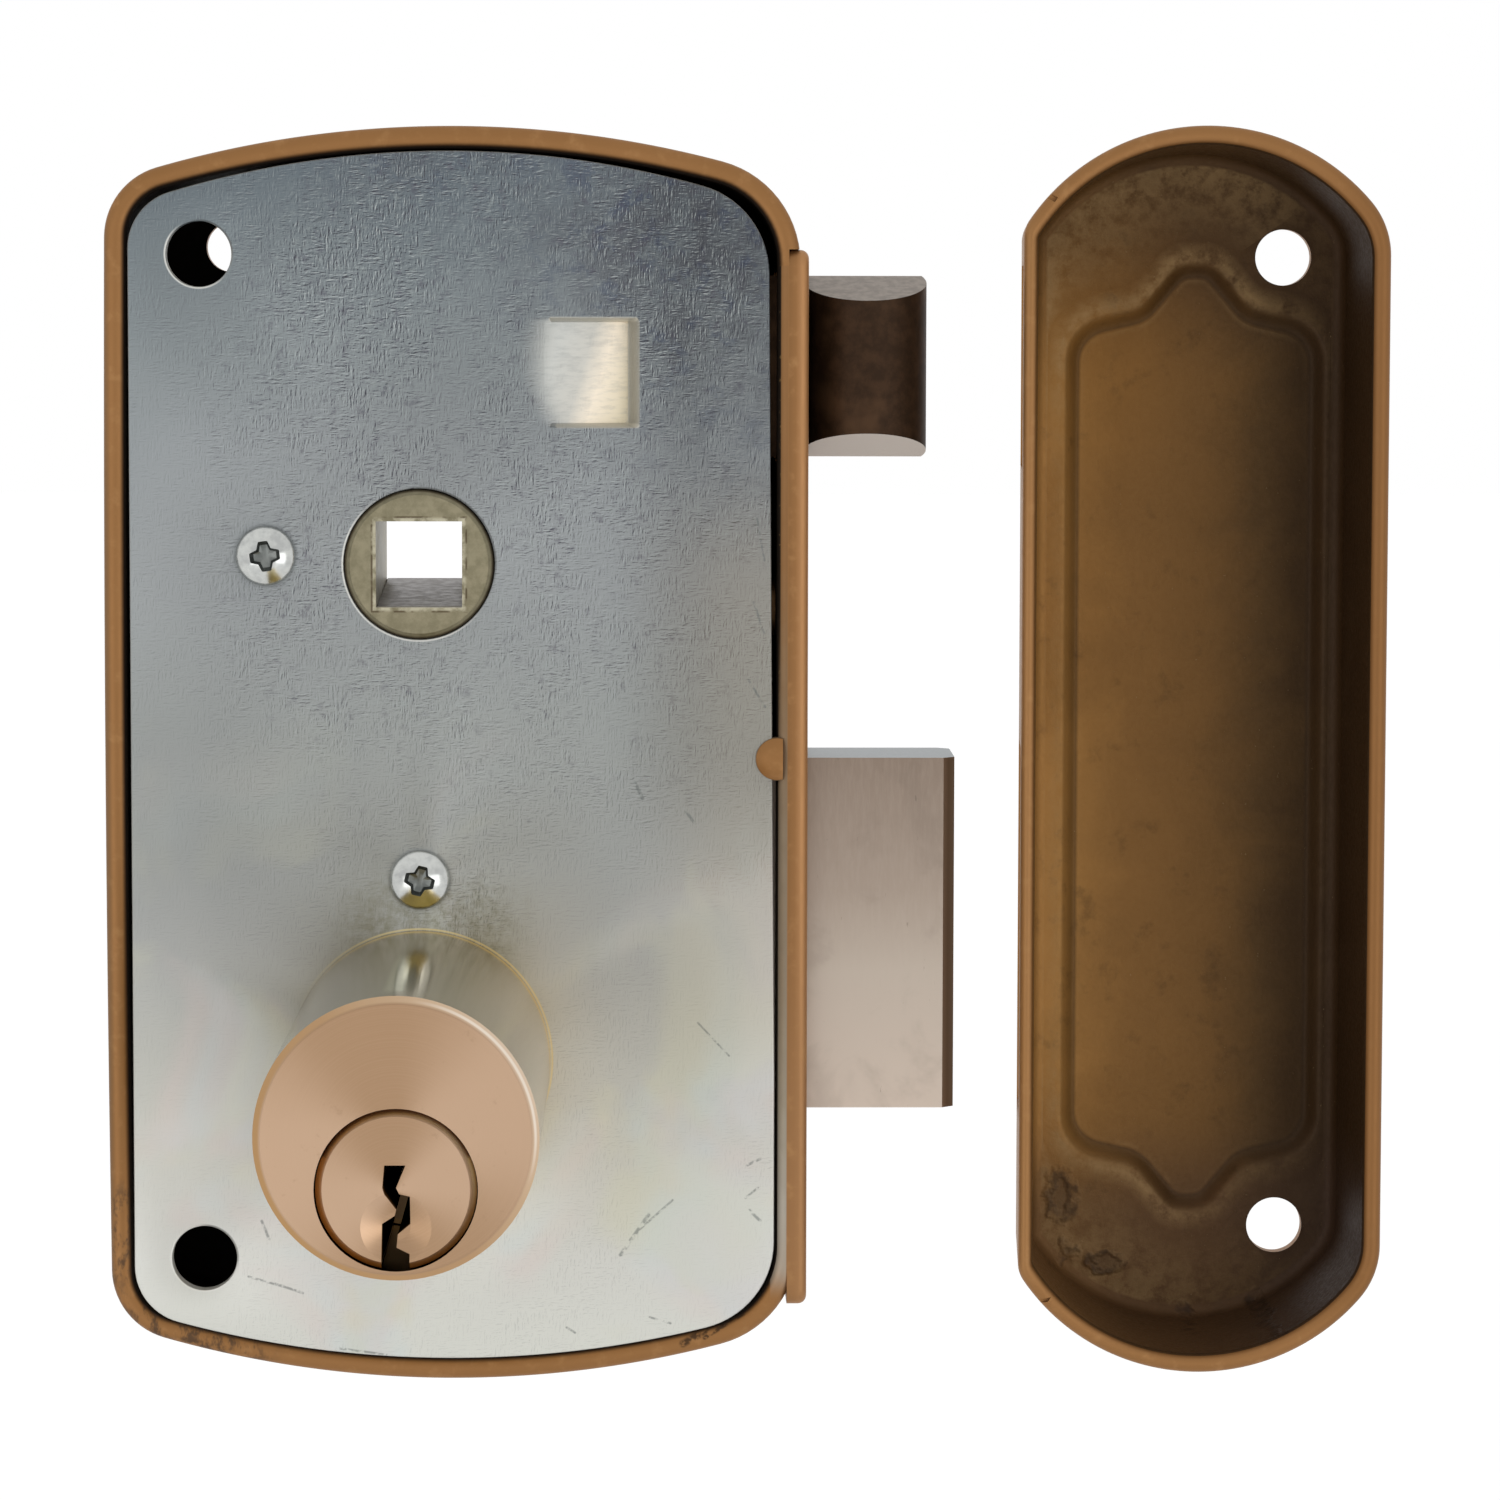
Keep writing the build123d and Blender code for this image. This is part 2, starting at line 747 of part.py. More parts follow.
# Deadbolt head: a solid block with its tip edges broken, slotted for its tail
with BuildPart() as deadbolt_head:
    slab(bolt_heel, bolt_tip, bolt_bottom, bolt_top, bolt_near, bolt_back)
    tip_edges = deadbolt_head.faces().sort_by(Axis.X)[-1].edges().filter_by(Axis.Z)
    chamfer(tip_edges, bolt_tip_chamfer)
    slab(
        bolt_heel - overrun, bolt_heel + bolt_tail_grip,
        bolt_tail_bottom - tail_slot_gap, bolt_tail_top + tail_slot_gap,
        bolt_tail_near - tail_slot_gap, bolt_tail_far + tail_slot_gap, Mode.SUBTRACT,
    )
    for height in bolt_rivet_heights:
        rod(bolt_heel + bolt_rivet_inset, height, rivet_radius, bolt_near, bolt_back, Mode.SUBTRACT)
finish(deadbolt_head, "deadbolt_head")

# Deadbolt tail: slides on the post by one slot and is driven by the crank pin in the other
pin_x = crank_length * math.sin(math.radians(crank_rest_angle))
pin_low = plug_z + crank_length * math.cos(math.radians(crank_rest_angle))
pin_high = plug_z + crank_length
drive_half = drive_pin_radius + drive_slot_gap
with BuildPart() as deadbolt_tail:
    slab(
        bolt_tail_left, bolt_heel + bolt_tail_grip, bolt_tail_bottom, bolt_tail_top,
        bolt_tail_near, bolt_tail_far,
    )
    guide_x, guide_z = post_spots[-1]
    guide_half = neck_radius + side_gap
    with BuildSketch(face_plane(bolt_tail_near - overrun)):
        with Locations((guide_x + bolt_throw / 2, guide_z)):
            SlotOverall(bolt_throw + 2 * guide_half, 2 * guide_half)
        with Locations((pin_x, (pin_low + pin_high) / 2)):
            SlotOverall(pin_high - pin_low + 2 * drive_half, 2 * drive_half, rotation=90)
    extrude(amount=-tail_thickness - 2 * overrun, mode=Mode.SUBTRACT)
    for height in bolt_rivet_heights:
        rod(
            bolt_heel + bolt_rivet_inset, height, rivet_radius,
            bolt_tail_near - overrun, bolt_tail_far + overrun, Mode.SUBTRACT,
        )
finish(deadbolt_tail, "deadbolt_tail")

# Rivets through the deadbolt head and its tail, dressed flush
with BuildPart() as deadbolt_rivets:
    for height in bolt_rivet_heights:
        rod(bolt_heel + bolt_rivet_inset, height, rivet_radius, bolt_near, bolt_back)
finish(deadbolt_rivets, "deadbolt_rivets")

# Leaf spring on the cover whose bow bears on the deadbolt's tail
with BuildPart() as brake_spring:
    foot_y = panel_inside - leaf_thickness / 2
    bow_y = bolt_tail_far + side_gap + leaf_thickness / 2
    with BuildSketch(Plane.XY.offset(leaf_low)):
        with BuildLine() as leaf_path:
            FilletPolyline(
                (leaf_foot_left, foot_y), (leaf_foot_right, foot_y), (leaf_bow_left, bow_y),
                (leaf_bow_right, bow_y), (leaf_end, bow_y + leaf_lift), radius=leaf_bend_radius,
            )
        trace(line_width=leaf_thickness)
    extrude(amount=leaf_width)
finish(brake_spring, "brake_spring")


def pin_places(face, back, count, start):
    """Depths of the pins of a cylinder, counted from its key face."""
    way = 1 if back > face else -1
    return [face + way * (start + pin_pitch * number) for number in range(count)]


def upright_rod(radius, place, low, high, mode=Mode.ADD):
    """Round bar or hole along Z above the plug's axis, at a depth."""
    with BuildSketch(Plane.XY.offset(low)) as section:
        with Locations((0, place)):
            Circle(radius)
    extrude(section.sketch, amount=high - low, mode=mode)


def cylinder_body(piece, face, back, places):
    """Round body with an eccentric bore and a row of pin chambers above it."""
    low, high = min(face, back), max(face, back)
    rod(0, 0, cylinder_radius, low, high)
    ends = piece.edges().group_by(Axis.Y)
    chamfer(ends[0] if face < back else ends[-1], cylinder_edge)
    rod(0, plug_z, bore_radius, low - overrun, high + overrun, Mode.SUBTRACT)
    for place in places:
        upright_rod(chamber_radius, place, plug_z, cylinder_radius + overrun, Mode.SUBTRACT)


def plug_core(piece, face, back, key_depth, places):
    """Turned plug with its warded keyway, the key's lead-in dimple and the pin holes."""
    low, high = min(face, back), max(face, back)
    way = 1 if back > face else -1
    rod(0, plug_z, plug_radius, low, high)
    ends = piece.edges().group_by(Axis.Y)
    chamfer(ends[0] if face < back else ends[-1], plug_edge)
    with BuildSketch(face_plane(face)) as mouth:
        with Locations((0, plug_z - dimple_drop)):
            Circle(dimple_radius)
    with BuildSketch(face_plane(face + way * dimple_depth)) as throat:
        with Locations((0, plug_z - dimple_drop)):
            Circle(dimple_radius * dimple_throat_share)
    loft([mouth.sketch, throat.sketch], mode=Mode.SUBTRACT)
    with BuildSketch(face_plane(face)) as keyway:
        with BuildLine():
            Polyline(
                *[(x * keyway_width, plug_z + z * plug_radius) for x, z in keyway_shares],
                close=True,
            )
        make_face()
    extrude(keyway.sketch, amount=-way * key_depth, mode=Mode.SUBTRACT)
    for place in places:
        upright_rod(
            chamber_radius, place, plug_z + pin_hole_floor, plug_z + plug_radius + overrun,
            Mode.SUBTRACT,
        )


def key_pins(places):
    """Key pins, lifted to the shear line as the right key lifts them."""
    top = plug_z + math.sqrt(plug_radius**2 - pin_radius**2) - pin_land
    for place, length in zip(places, key_pin_lengths):
        with BuildSketch(Plane.XZ.offset(-place)) as half:
            with BuildLine():
                Polyline(
                    (0, top), (pin_radius, top), (pin_radius, top - length + pin_cone),
                    (pin_radius * pin_tip_share, top - length), (0, top - length), close=True,
                )
            make_face()
        revolve(half.sketch, Axis((0, place, 0), (0, 0, 1)))


def driver_pins(places):
    """Driver pins, standing just above the plug."""
    bottom = plug_z + bore_radius + shear_gap
    for place in places:
        upright_rod(pin_radius, place, bottom, bottom + driver_length)


def pin_springs(places):
    """Springs between the driver pins and the caps, as plain sleeves."""
    bottom = plug_z + bore_radius + shear_gap + driver_length + spring_slack
    top = cylinder_radius - cap_length - spring_slack
    for place in places:
        upright_rod(pin_radius, place, bottom, top)
        upright_rod(pin_radius - spring_wall, place, bottom, top, Mode.SUBTRACT)


def chamber_caps(places, low, high):
    """Caps that close the chambers flush with the body."""
    for place in places:
        upright_rod(chamber_radius, place, cylinder_radius - cap_length, cylinder_radius + overrun)
    rod(0, 0, cylinder_radius, low, high, Mode.INTERSECT)


# Outer cylinder: stands on the plate and reaches out through the door
outer_places = pin_places(-cylinder_length, 0, outer_pin_count, first_pin)
with BuildPart() as outer_cylinder_body:
    cylinder_body(outer_cylinder_body, -cylinder_length, 0, outer_places)
    for x in (-cylinder_screw_x, cylinder_screw_x):
        rod(
            x, cylinder_screw_z, cylinder_screw_radius + fit_gap,
            -cylinder_screw_length - overrun, overrun, Mode.SUBTRACT,
        )
finish(outer_cylinder_body, "outer_cylinder_body")

with BuildPart() as outer_driver_pins:
    driver_pins(outer_places)
finish(outer_driver_pins, "outer_driver_pins")

with BuildPart() as outer_pin_springs:
    pin_springs(outer_places)
finish(outer_pin_springs, "outer_pin_springs")

with BuildPart() as outer_chamber_caps:
    chamber_caps(outer_places, -cylinder_length, 0)
finish(outer_chamber_caps, "outer_chamber_caps")

# Screws from inside the case into the back of the outer cylinder
with BuildPart() as cylinder_screws:
    for x in (-cylinder_screw_x, cylinder_screw_x):
        rod(
            x, cylinder_screw_z, cylinder_screw_head,
            plate_back, plate_back + cylinder_screw_head_height,
        )
        rod(x, cylinder_screw_z, cylinder_screw_radius, -cylinder_screw_length, plate_back)
finish(cylinder_screws, "cylinder_screws")

# Outer plug, with a spigot through the plate for the crank
spigot_end = crank_near + spigot_length
crank_far = bolt_tail_near - side_gap
screw_end = crank_far - crank_screw_length
with BuildPart() as outer_plug:
    plug_core(outer_plug, -cylinder_length, -thrust_gap, keyway_length, outer_places)
    rod(0, plug_z, spigot_radius, -thrust_gap - fit_gap, spigot_end)
    rod(0, plug_z, crank_screw_radius + fit_gap, screw_end - overrun, spigot_end, Mode.SUBTRACT)
finish(outer_plug, "outer_plug")

with BuildPart() as outer_key_pins:
    key_pins(outer_places)
finish(outer_key_pins, "outer_key_pins")

# Crank: hub on the spigot, arm, and the pin that works the deadbolt's tail
rest_turn = math.radians(crank_rest_angle)
crank_across = (math.cos(rest_turn), 0, -math.sin(rest_turn))
with BuildPart() as drive_crank:
    rod(0, plug_z, crank_hub_radius, crank_near, crank_far)
    with BuildSketch(Plane((0, crank_far, plug_z), x_dir=crank_across, z_dir=(0, -1, 0))):
        with Locations((0, crank_length / 2)):
            Rectangle(2 * crank_arm_radius, crank_length)
        with Locations((0, crank_length)):
            Circle(crank_arm_radius)
    extrude(amount=crank_arm_thickness)
    rod(pin_x, pin_low, drive_pin_radius, crank_far, crank_far + drive_pin_length)
    rod(0, plug_z, spigot_radius + fit_gap, crank_near - overrun, spigot_end + fit_gap, Mode.SUBTRACT)
    rod(
        0, plug_z, crank_screw_radius + screw_clearance,
        crank_near, crank_far + overrun, Mode.SUBTRACT,
    )
    crank_sink = crank_screw_head - crank_screw_radius
    with BuildSketch(face_plane(crank_far)) as rim:
        with Locations((0, plug_z)):
            Circle(crank_screw_head + fit_gap)
    with BuildSketch(face_plane(crank_far - crank_sink)) as root:
        with Locations((0, plug_z)):
            Circle(crank_screw_radius + fit_gap)
    loft([rim.sketch, root.sketch], mode=Mode.SUBTRACT)
finish(drive_crank, "drive_crank")

# Countersunk screw that holds the crank to the plug
with BuildPart() as crank_screw:
    turned(
        (
            (0, crank_far), (crank_screw_head, crank_far),
            (crank_screw_radius, crank_far - crank_sink), (crank_screw_radius, screw_end),
            (0, screw_end),
        ),
        0, plug_z,
    )
finish(crank_screw, "crank_screw")

# Inner cylinder: short, held in the cover by two ears behind the panel
inner_places = pin_places(inner_face, inner_near, inner_pin_count, inner_first_pin)
with BuildPart() as inner_cylinder_body:
    cylinder_body(inner_cylinder_body, inner_face, inner_near, inner_places)
    for left, right in (
        (-inner_ear_reach, -bore_radius - overrun), (bore_radius + overrun, inner_ear_reach)
    ):
        slab(
            left, right, -inner_ear_half, inner_ear_half,
            panel_inside - inner_ear_thickness, panel_inside,
        )
finish(inner_cylinder_body, "inner_cylinder_body")

with BuildPart() as inner_driver_pins:
    driver_pins(inner_places)
finish(inner_driver_pins, "inner_driver_pins")

with BuildPart() as inner_pin_springs:
    pin_springs(inner_places)
finish(inner_pin_springs, "inner_pin_springs")

with BuildPart() as inner_chamber_caps:
    chamber_caps(inner_places, inner_near, inner_face)
finish(inner_chamber_caps, "inner_chamber_caps")

# Inner plug, kept in by a clip in the groove at its back
inner_back = bolt_tail_far + side_gap + fit_gap
clip_far = inner_near - running_gap
clip_near = clip_far - clip_thickness
with BuildPart() as inner_plug:
    plug_core(inner_plug, inner_face, inner_back, inner_key_depth, inner_places)
    with BuildSketch(face_plane(clip_near - fit_gap)) as groove:
        with Locations((0, plug_z)):
            Circle(plug_radius + overrun)
            Circle(clip_bore, mode=Mode.SUBTRACT)
    extrude(groove.sketch, amount=-clip_thickness - 2 * fit_gap, mode=Mode.SUBTRACT)
finish(inner_plug, "inner_plug")

with BuildPart() as inner_key_pins:
    key_pins(inner_places)
finish(inner_key_pins, "inner_key_pins")

with BuildPart() as plug_clip:
    rod(0, plug_z, clip_radius, clip_near, clip_far)
    rod(0, plug_z, clip_bore + fit_gap, clip_near, clip_far, Mode.SUBTRACT)
    slab(
        -clip_mouth / 2, clip_mouth / 2, plug_z - clip_radius - overrun, plug_z,
        clip_near, clip_far, Mode.SUBTRACT,
    )
finish(plug_clip, "plug_clip")

# Keep: drafted shell with the same raised panel, screw holes and a window for each bolt
with BuildPart() as keep_hollow:
    keep_inside = keep_depth - front_wall
    loft(
        [
            keep_outline(-overrun, keep_wall - rim_break),
            keep_outline(0, keep_wall - rim_break),
            keep_outline(rim_break, keep_wall, lean_at(rim_break)),
            keep_outline(keep_inside, keep_wall, lean_at(keep_inside)),
        ],
        ruled=True,
    )
    keep_floor = keep_hollow.faces().sort_by(Axis.Y)[-1]
    fillet(keep_floor.edges(), keep_front_edge - keep_wall)

with BuildPart() as keep_shell:
    loft(
        [
            keep_outline(0, rim_break),
            keep_outline(rim_break, lean=lean_at(rim_break)),
            keep_outline(keep_depth, lean=lean_at(keep_depth)),
        ],
        ruled=True,
    )
    fillet(keep_shell.faces().sort_by(Axis.Y)[-1].edges(), keep_front_edge)
    add(keep_hollow.part, mode=Mode.SUBTRACT)
    press_panel(
        keep_depth, front_wall,
        keep_panel_left, keep_panel_right, -case_panel_bottom, case_panel_top,
    )
    for height in (keep_hole_low, keep_hole_low + keep_hole_spacing):
        rod(
            keep_hole_x, height, keep_hole_radius,
            keep_inside - overrun, keep_depth + overrun, Mode.SUBTRACT,
        )
    window_edge = keep_left + keep_wall + lean_at(keep_depth) + keep_front_edge
    for bottom, top in ((latch_bottom, latch_top), (bolt_bottom, bolt_top)):
        slab(
            keep_left - overrun, window_edge, bottom - keep_window_gap, top + keep_window_gap,
            keep_window_near, bolt_back + side_gap, Mode.SUBTRACT,
        )
finish(keep_shell, "keep_shell")
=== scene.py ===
import math

import bmesh
import bpy
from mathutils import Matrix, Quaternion, Vector


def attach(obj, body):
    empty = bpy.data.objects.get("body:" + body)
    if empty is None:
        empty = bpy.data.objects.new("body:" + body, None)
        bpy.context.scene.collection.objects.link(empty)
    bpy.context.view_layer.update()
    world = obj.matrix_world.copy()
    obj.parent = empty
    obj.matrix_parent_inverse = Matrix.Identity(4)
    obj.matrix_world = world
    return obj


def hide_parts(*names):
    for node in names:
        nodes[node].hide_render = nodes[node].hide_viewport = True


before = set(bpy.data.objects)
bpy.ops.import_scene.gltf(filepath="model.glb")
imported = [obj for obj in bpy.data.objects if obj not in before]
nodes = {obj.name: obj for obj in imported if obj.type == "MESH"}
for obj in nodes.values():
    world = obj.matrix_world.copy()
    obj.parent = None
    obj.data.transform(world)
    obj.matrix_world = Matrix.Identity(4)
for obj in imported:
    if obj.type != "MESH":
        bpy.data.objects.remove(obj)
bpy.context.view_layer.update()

# All sizes below are in millimetres, in the frame of the CAD model.
# The door side looks towards -Y, +X runs to the bolts and +Z is up.
MM = 0.001

# Case, as in the part's source
CASE_LEFT, CASE_RIGHT = -30.1, 36.3
SEAT = 35.2
SEAT_LOW, SEAT_HIGH = -23.95, 77.55
CASE_TOP, CASE_BOTTOM = 89.2, -31.1
CASE_END_RADIUS = 102.0
CASE_BOW = 0.3
CASE_CORNER = 7.0
CASE_RIGHT_CORNER = 10.0
CASE_DEPTH = 19.5
CASE_WALL = 2.15
CASE_SIDE_WALL = 2.2
FRONT_WALL = 1.5
CASE_EDGE = 3.0
CASE_PANEL = (-18.6, 22.6, -11.0, 69.5)
CASE_WINDOWS = ((57.3, 75.4, 3.2), (-5.5, 29.1, 3.7))
WINDOW_BACK = 16.3
DRAFT = math.tan(math.radians(3.0))
ROLL = 0.9

# Pressed panel, in the case and in the keep
PANEL_RISE = 1.2
PANEL_SLOPE = 1.6
PANEL_CORNER = 3.2
PANEL_WAIST = 4.0
PANEL_TIP = 1.7
PANEL_PEAK = 5.9
PANEL_SHOULDER = 0.26 * PANEL_PEAK
TIP_SHARE, WAIST_SHARE = 0.1, 0.42
TIP_GROWTH, WAIST_GROWTH = 0.45, 0.4
PANEL_STEPS = 10
# Rings outside the panel's slope: their growth, and their shade for the painted highlight along the ridge
PANEL_RIDGES = ((1.9, 0.0), (1.1, 0.45), (0.4, 1.0))

# Keep, as in the part's source
KEEP_LEFT, KEEP_RIGHT = 57.5, 92.6
KEEP_TOP, KEEP_BOTTOM = 89.4, -30.6
KEEP_END_RADIUS = 20.6
KEEP_LEFT_CORNER, KEEP_RIGHT_CORNER = 3.0, 8.0
KEEP_WALL = 1.4
KEEP_EDGE = 2.8
KEEP_BEAD = 0.4
KEEP_PANEL = (64.2, 87.1, -10.4, 69.2)
KEEP_HOLES = ((84.2, -19.1), (84.2, 77.0))
KEEP_HOLE_RADIUS = 2.75
KEEP_WINDOWS = ((56.6, 76.1), (-6.2, 29.8))
KEEP_WINDOW_FRONT = 3.0
KEEP_NICKS = ((82.3, 0.5), (-23.3, -0.5))

# What shows in the cover and the plate
COVER_HOLES = ((-19.0, -17.8), (-19.1, 77.8))
COVER_HOLE_RADIUS = 2.4
HUB_HOLE_RADIUS = 7.2
CYLINDER_HOLE_RADIUS = 12.55
THROUGH_COVER = (16.0, 23.0)
THROUGH_SIDE = (30.0, 38.0)
FOLLOWER = (0.0, 47.6)
BORE_HALF = 4.1
BORE_DEPTHS = (0.7, 20.8)
BORE_FLOOR_RISE = 1.7
SCREWS = ((-14.6, 48.4), (0.0, 17.4))
SCREW_TURNS = (8.0, -14.0)
SCREW_DOME, SCREW_HEIGHT, SCREW_RADIUS = 4.11, 1.5, 2.8
PLUG_Z = -4.45
STAKE = (34.15, 29.0)

FLOOR_REACH, FLOOR_HEIGHT = 6000.0, -160.0
WHITE = (1.0, 1.0, 1.0, 1.0)
# How much brighter than its colour a metal looks in the white surround
MIRRORED = 0.28


def linear(red, green, blue):
    """Colour as the photo shows it, 0 to 255, as Blender's linear colour."""
    out = []
    for value in (red, green, blue):
        share = value / 255
        out.append(share / 12.92 if share <= 0.04045 else ((share + 0.055) / 1.055) ** 2.4)
    return (*out, 1.0)


class Value:
    """A number that a node works out. It takes +, -, * and abs()."""

    def __init__(self, graph, socket):
        self.graph, self.socket = graph, socket

    def __add__(self, other):
        return self.graph.math("ADD", self, other)

    def __sub__(self, other):
        return self.graph.math("SUBTRACT", self, other)

    def __rsub__(self, other):
        return self.graph.math("SUBTRACT", other, self)

    def __mul__(self, other):
        return self.graph.math("MULTIPLY", self, other)

    def __abs__(self):
        return self.graph.math("ABSOLUTE", self)


class Graph:
    """A node tree, with short calls for the nodes that are used here."""

    def __init__(self, tree):
        self.tree = tree
        tree.nodes.clear()

    def put(self, socket, value):
        """Set an input to a constant, or link it to what another node gives."""
        if isinstance(value, Value):
            value = value.socket
        if isinstance(value, bpy.types.NodeSocket):
            self.tree.links.new(value, socket)
        else:
            socket.default_value = value

    def node(self, kind, inputs=None, **settings):
        made = self.tree.nodes.new("ShaderNode" + kind)
        for key, value in settings.items():
            setattr(made, key, value)
        for key, value in (inputs or {}).items():
            self.put(made.inputs[key], value)
        return made

    def value(self, kind, output, inputs=None, **settings):
        return Value(self, self.node(kind, inputs, **settings).outputs[output])

    def math(self, operation, first, second=0.0):
        return self.value("Math", 0, {0: first, 1: second}, operation=operation)

    def most(self, *values):
        """The largest of some values."""
        largest = values[0]
        for value in values[1:]:
            largest = self.math("MAXIMUM", largest, value)
        return largest

    def spread(self, value, low, high, to_low=0.0, to_high=1.0, smooth=True):
        """A value between low and high, mapped to another range and held there."""
        inputs = {"Value": value, "From Min": low, "From Max": high, "To Min": to_low, "To Max": to_high}
        return self.value("MapRange", 0, inputs, interpolation_type="SMOOTHSTEP" if smooth else "LINEAR")

    def fall(self, value, low, high):
        """1 up to low and 0 from high on."""
        return self.spread(value, low, high, 1.0, 0.0)

    def near(self, value, center, full, gone):
        """1 near a centre, fading to 0 from one distance to another."""
        return self.fall(abs(value - center), full, gone)

    def backdrop_ray(self):
        """1 for the rays that see the white background: from the camera, mirrored or let through."""
        path = self.node("LightPath").outputs
        return self.most(*(Value(self, path[f"Is {kind} Ray"]) for kind in ("Camera", "Glossy", "Transmission")))


class Paint(Graph):
    """A node material, whose skin of colour is laid on in coats."""

    def __init__(self, name, metallic=1.0, **constants):
        self.material = bpy.data.materials.new(name)
        self.material.use_nodes = True
        super().__init__(self.material.node_tree)
        self.metallic = metallic
        self.skin = None
        self.shader = self.node("BsdfPrincipled", {"Metallic": metallic})
        for key, value in constants.items():
            self.set(key.replace("_", " "), value)
        self.node("OutputMaterial", {"Surface": self.shader.outputs[0]})
        where = self.node("TexCoord").outputs["Object"]
        self.place = self.node("VectorMath", {0: where, "Scale": 1.0 / MM}, operation="SCALE").outputs[0]
        self.x, self.y, self.z = self.split(self.place)
        self.nx, self.ny, self.nz = self.split(self.node("NewGeometry").outputs["True Normal"])

    def split(self, vector):
        return [Value(self, socket) for socket in self.node("SeparateXYZ", {0: vector}).outputs]

    def set(self, key, value):
        """Set one of the shader's own inputs."""
        self.put(self.shader.inputs[key], value)

    def stretch(self, factors, vector=None, operation="MULTIPLY"):
        """The place, scaled differently along each direction."""
        vector = self.place if vector is None else vector
        return self.node("VectorMath", {0: vector, 1: factors}, operation=operation).outputs[0]

    def noise(self, scale, detail=3.0, rough=0.55, vector=None, warp=0.0):
        vector = self.place if vector is None else vector
        inputs = {"Vector": vector, "Scale": scale, "Detail": detail, "Roughness": rough, "Distortion": warp}
        return self.value("TexNoise", "Fac", inputs)

    def streaks(self, *factors):
        """Noise that is finer along some directions."""
        return self.noise(1.0, 3.0, 0.6, self.stretch(factors))

    def patches(self, scale, low, high, detail=4.0, rough=0.7, warp=0.0):
        """0 to 1 where a noise runs from low to high."""
        return self.spread(self.noise(scale, detail, rough, warp=warp), low, high)

    def mix(self, share, first, second, blend="MIX"):
        """Mix of two colours, each a socket, three numbers up to 255 or a linear colour."""
        inputs = {0: share}
        for key, color in ((6, first), (7, second)):
            inputs[key] = linear(*color) if isinstance(color, tuple) and len(color) == 3 else color
        return self.node("Mix", inputs, data_type="RGBA", blend_type=blend, clamp_factor=True).outputs[2]

    def coat(self, share, color):
        """Lay a colour over the skin."""
        self.skin = self.mix(share, self.skin, color)

    def dim(self, share, level):
        """Multiply the skin by a level."""
        self.skin = self.mix(share, self.skin, (level, level, level, 1.0), "MULTIPLY")

    def ramp(self, value, stops):
        """Colour that runs through stops of (number, red, green, blue)."""
        low, high = stops[0][0], stops[-1][0]
        made = self.node("ValToRGB", {0: self.spread(value, low, high, smooth=False)})
        elements = made.color_ramp.elements
        while len(elements) < len(stops):
            elements.new(0.5)
        for element, (number, *shade) in zip(elements, stops):
            element.position = (number - low) / (high - low)
            element.color = linear(*shade)
        return made.outputs[0]

    def box(self, left, right, bottom, top, soft):
        """1 inside a rectangle of the door's plane, fading over a soft edge."""
        across = self.spread(self.x, left - soft, left + soft) * self.fall(self.x, right - soft, right + soft)
        return across * self.spread(self.z, bottom - soft, bottom + soft) * self.fall(self.z, top - soft, top + soft)

    def length(self, across, along):
        return self.math("SQRT", across * across + along * along)

    def distance(self, x, z, squash=1.0):
        """Distance from a point of the door's plane; squash makes it an upright oval."""
        return self.length(self.x - x, (self.z - z) * squash)

    def stroke(self, start, end, width):
        """1 on a scratch between two points of the door's plane."""
        (ax, az), (bx, bz) = start, end
        reach = math.hypot(bx - ax, bz - az)
        ux, uz = (bx - ax) / reach, (bz - az) / reach
        dx, dz = self.x - ax, self.z - az
        along = dx * ux + dz * uz
        past = along - self.math("MINIMUM", self.most(along, 0.0), reach)
        return self.fall(self.length(dx * uz - dz * ux, past), 0.3 * width, width)

    def scratches(self, *marks):
        """1 on scratches of (start, end, width)."""
        return self.most(*(self.stroke(*mark) for mark in marks))

    def shade(self):
        """The shade that a shell's points carry."""
        return self.value("Attribute", "Fac", attribute_name="shade")

    def angle(self, x, z):
        """Angle about a point of the door's plane, in radians."""
        return self.math("ARCTAN2", self.z - z, self.x - x)

    def lobe(self, angle, center, times):
        """1 where an angle meets a centre in degrees, -1 between, times round a turn."""
        return self.math("COSINE", (angle - math.radians(center)) * float(times))

    def strokes(self, shift):
        """Short strokes that run across in some patches and upright in others."""
        moved = self.stretch((shift, 0.0, -shift), operation="ADD")
        flat, upright = (
            self.noise(1.0, 3.0, 0.65, self.stretch(factors, moved), warp=0.2)
            for factors in ((1.0, 1.0, 4.4), (4.4, 1.0, 1.0))
        )
        return flat + self.spread(self.noise(0.45), 0.42, 0.58) * (upright - flat)

    def bump(self, height, strength, depth):
        """Bump of a depth in millimetres."""
        inputs = {"Strength": strength, "Distance": depth * MM, "Height": height}
        self.set("Normal", self.node("Bump", inputs).outputs[0])

    def finished(self, roughness):
        """The material with its skin, lowered by what its metal mirrors of the white surround."""
        self.dim(1.0, 1.0 / (1.0 + MIRRORED * self.metallic))
        self.set("Base Color", self.skin)
        self.set("Roughness", roughness)
        return self.material


# Camera and light


def link(piece):
    bpy.context.scene.collection.objects.link(piece)
    return piece


def place_camera():
    camera = bpy.data.cameras.new("camera")
    camera.lens = 131.7
    camera.sensor_width = 36.0
    camera.clip_start = 0.02
    camera.clip_end = 20.0
    piece = link(bpy.data.objects.new("camera", camera))
    piece.location = Vector((22.92, -522.8, 72.95)) * MM
    aim = Vector((31.56, 0.0, 29.87)) * MM - piece.location
    roll = Quaternion((0.0, 0.0, 1.0), math.radians(0.11))
    piece.rotation_euler = (aim.to_track_quat("-Z", "Y") @ roll).to_euler()
    bpy.context.scene.camera = piece


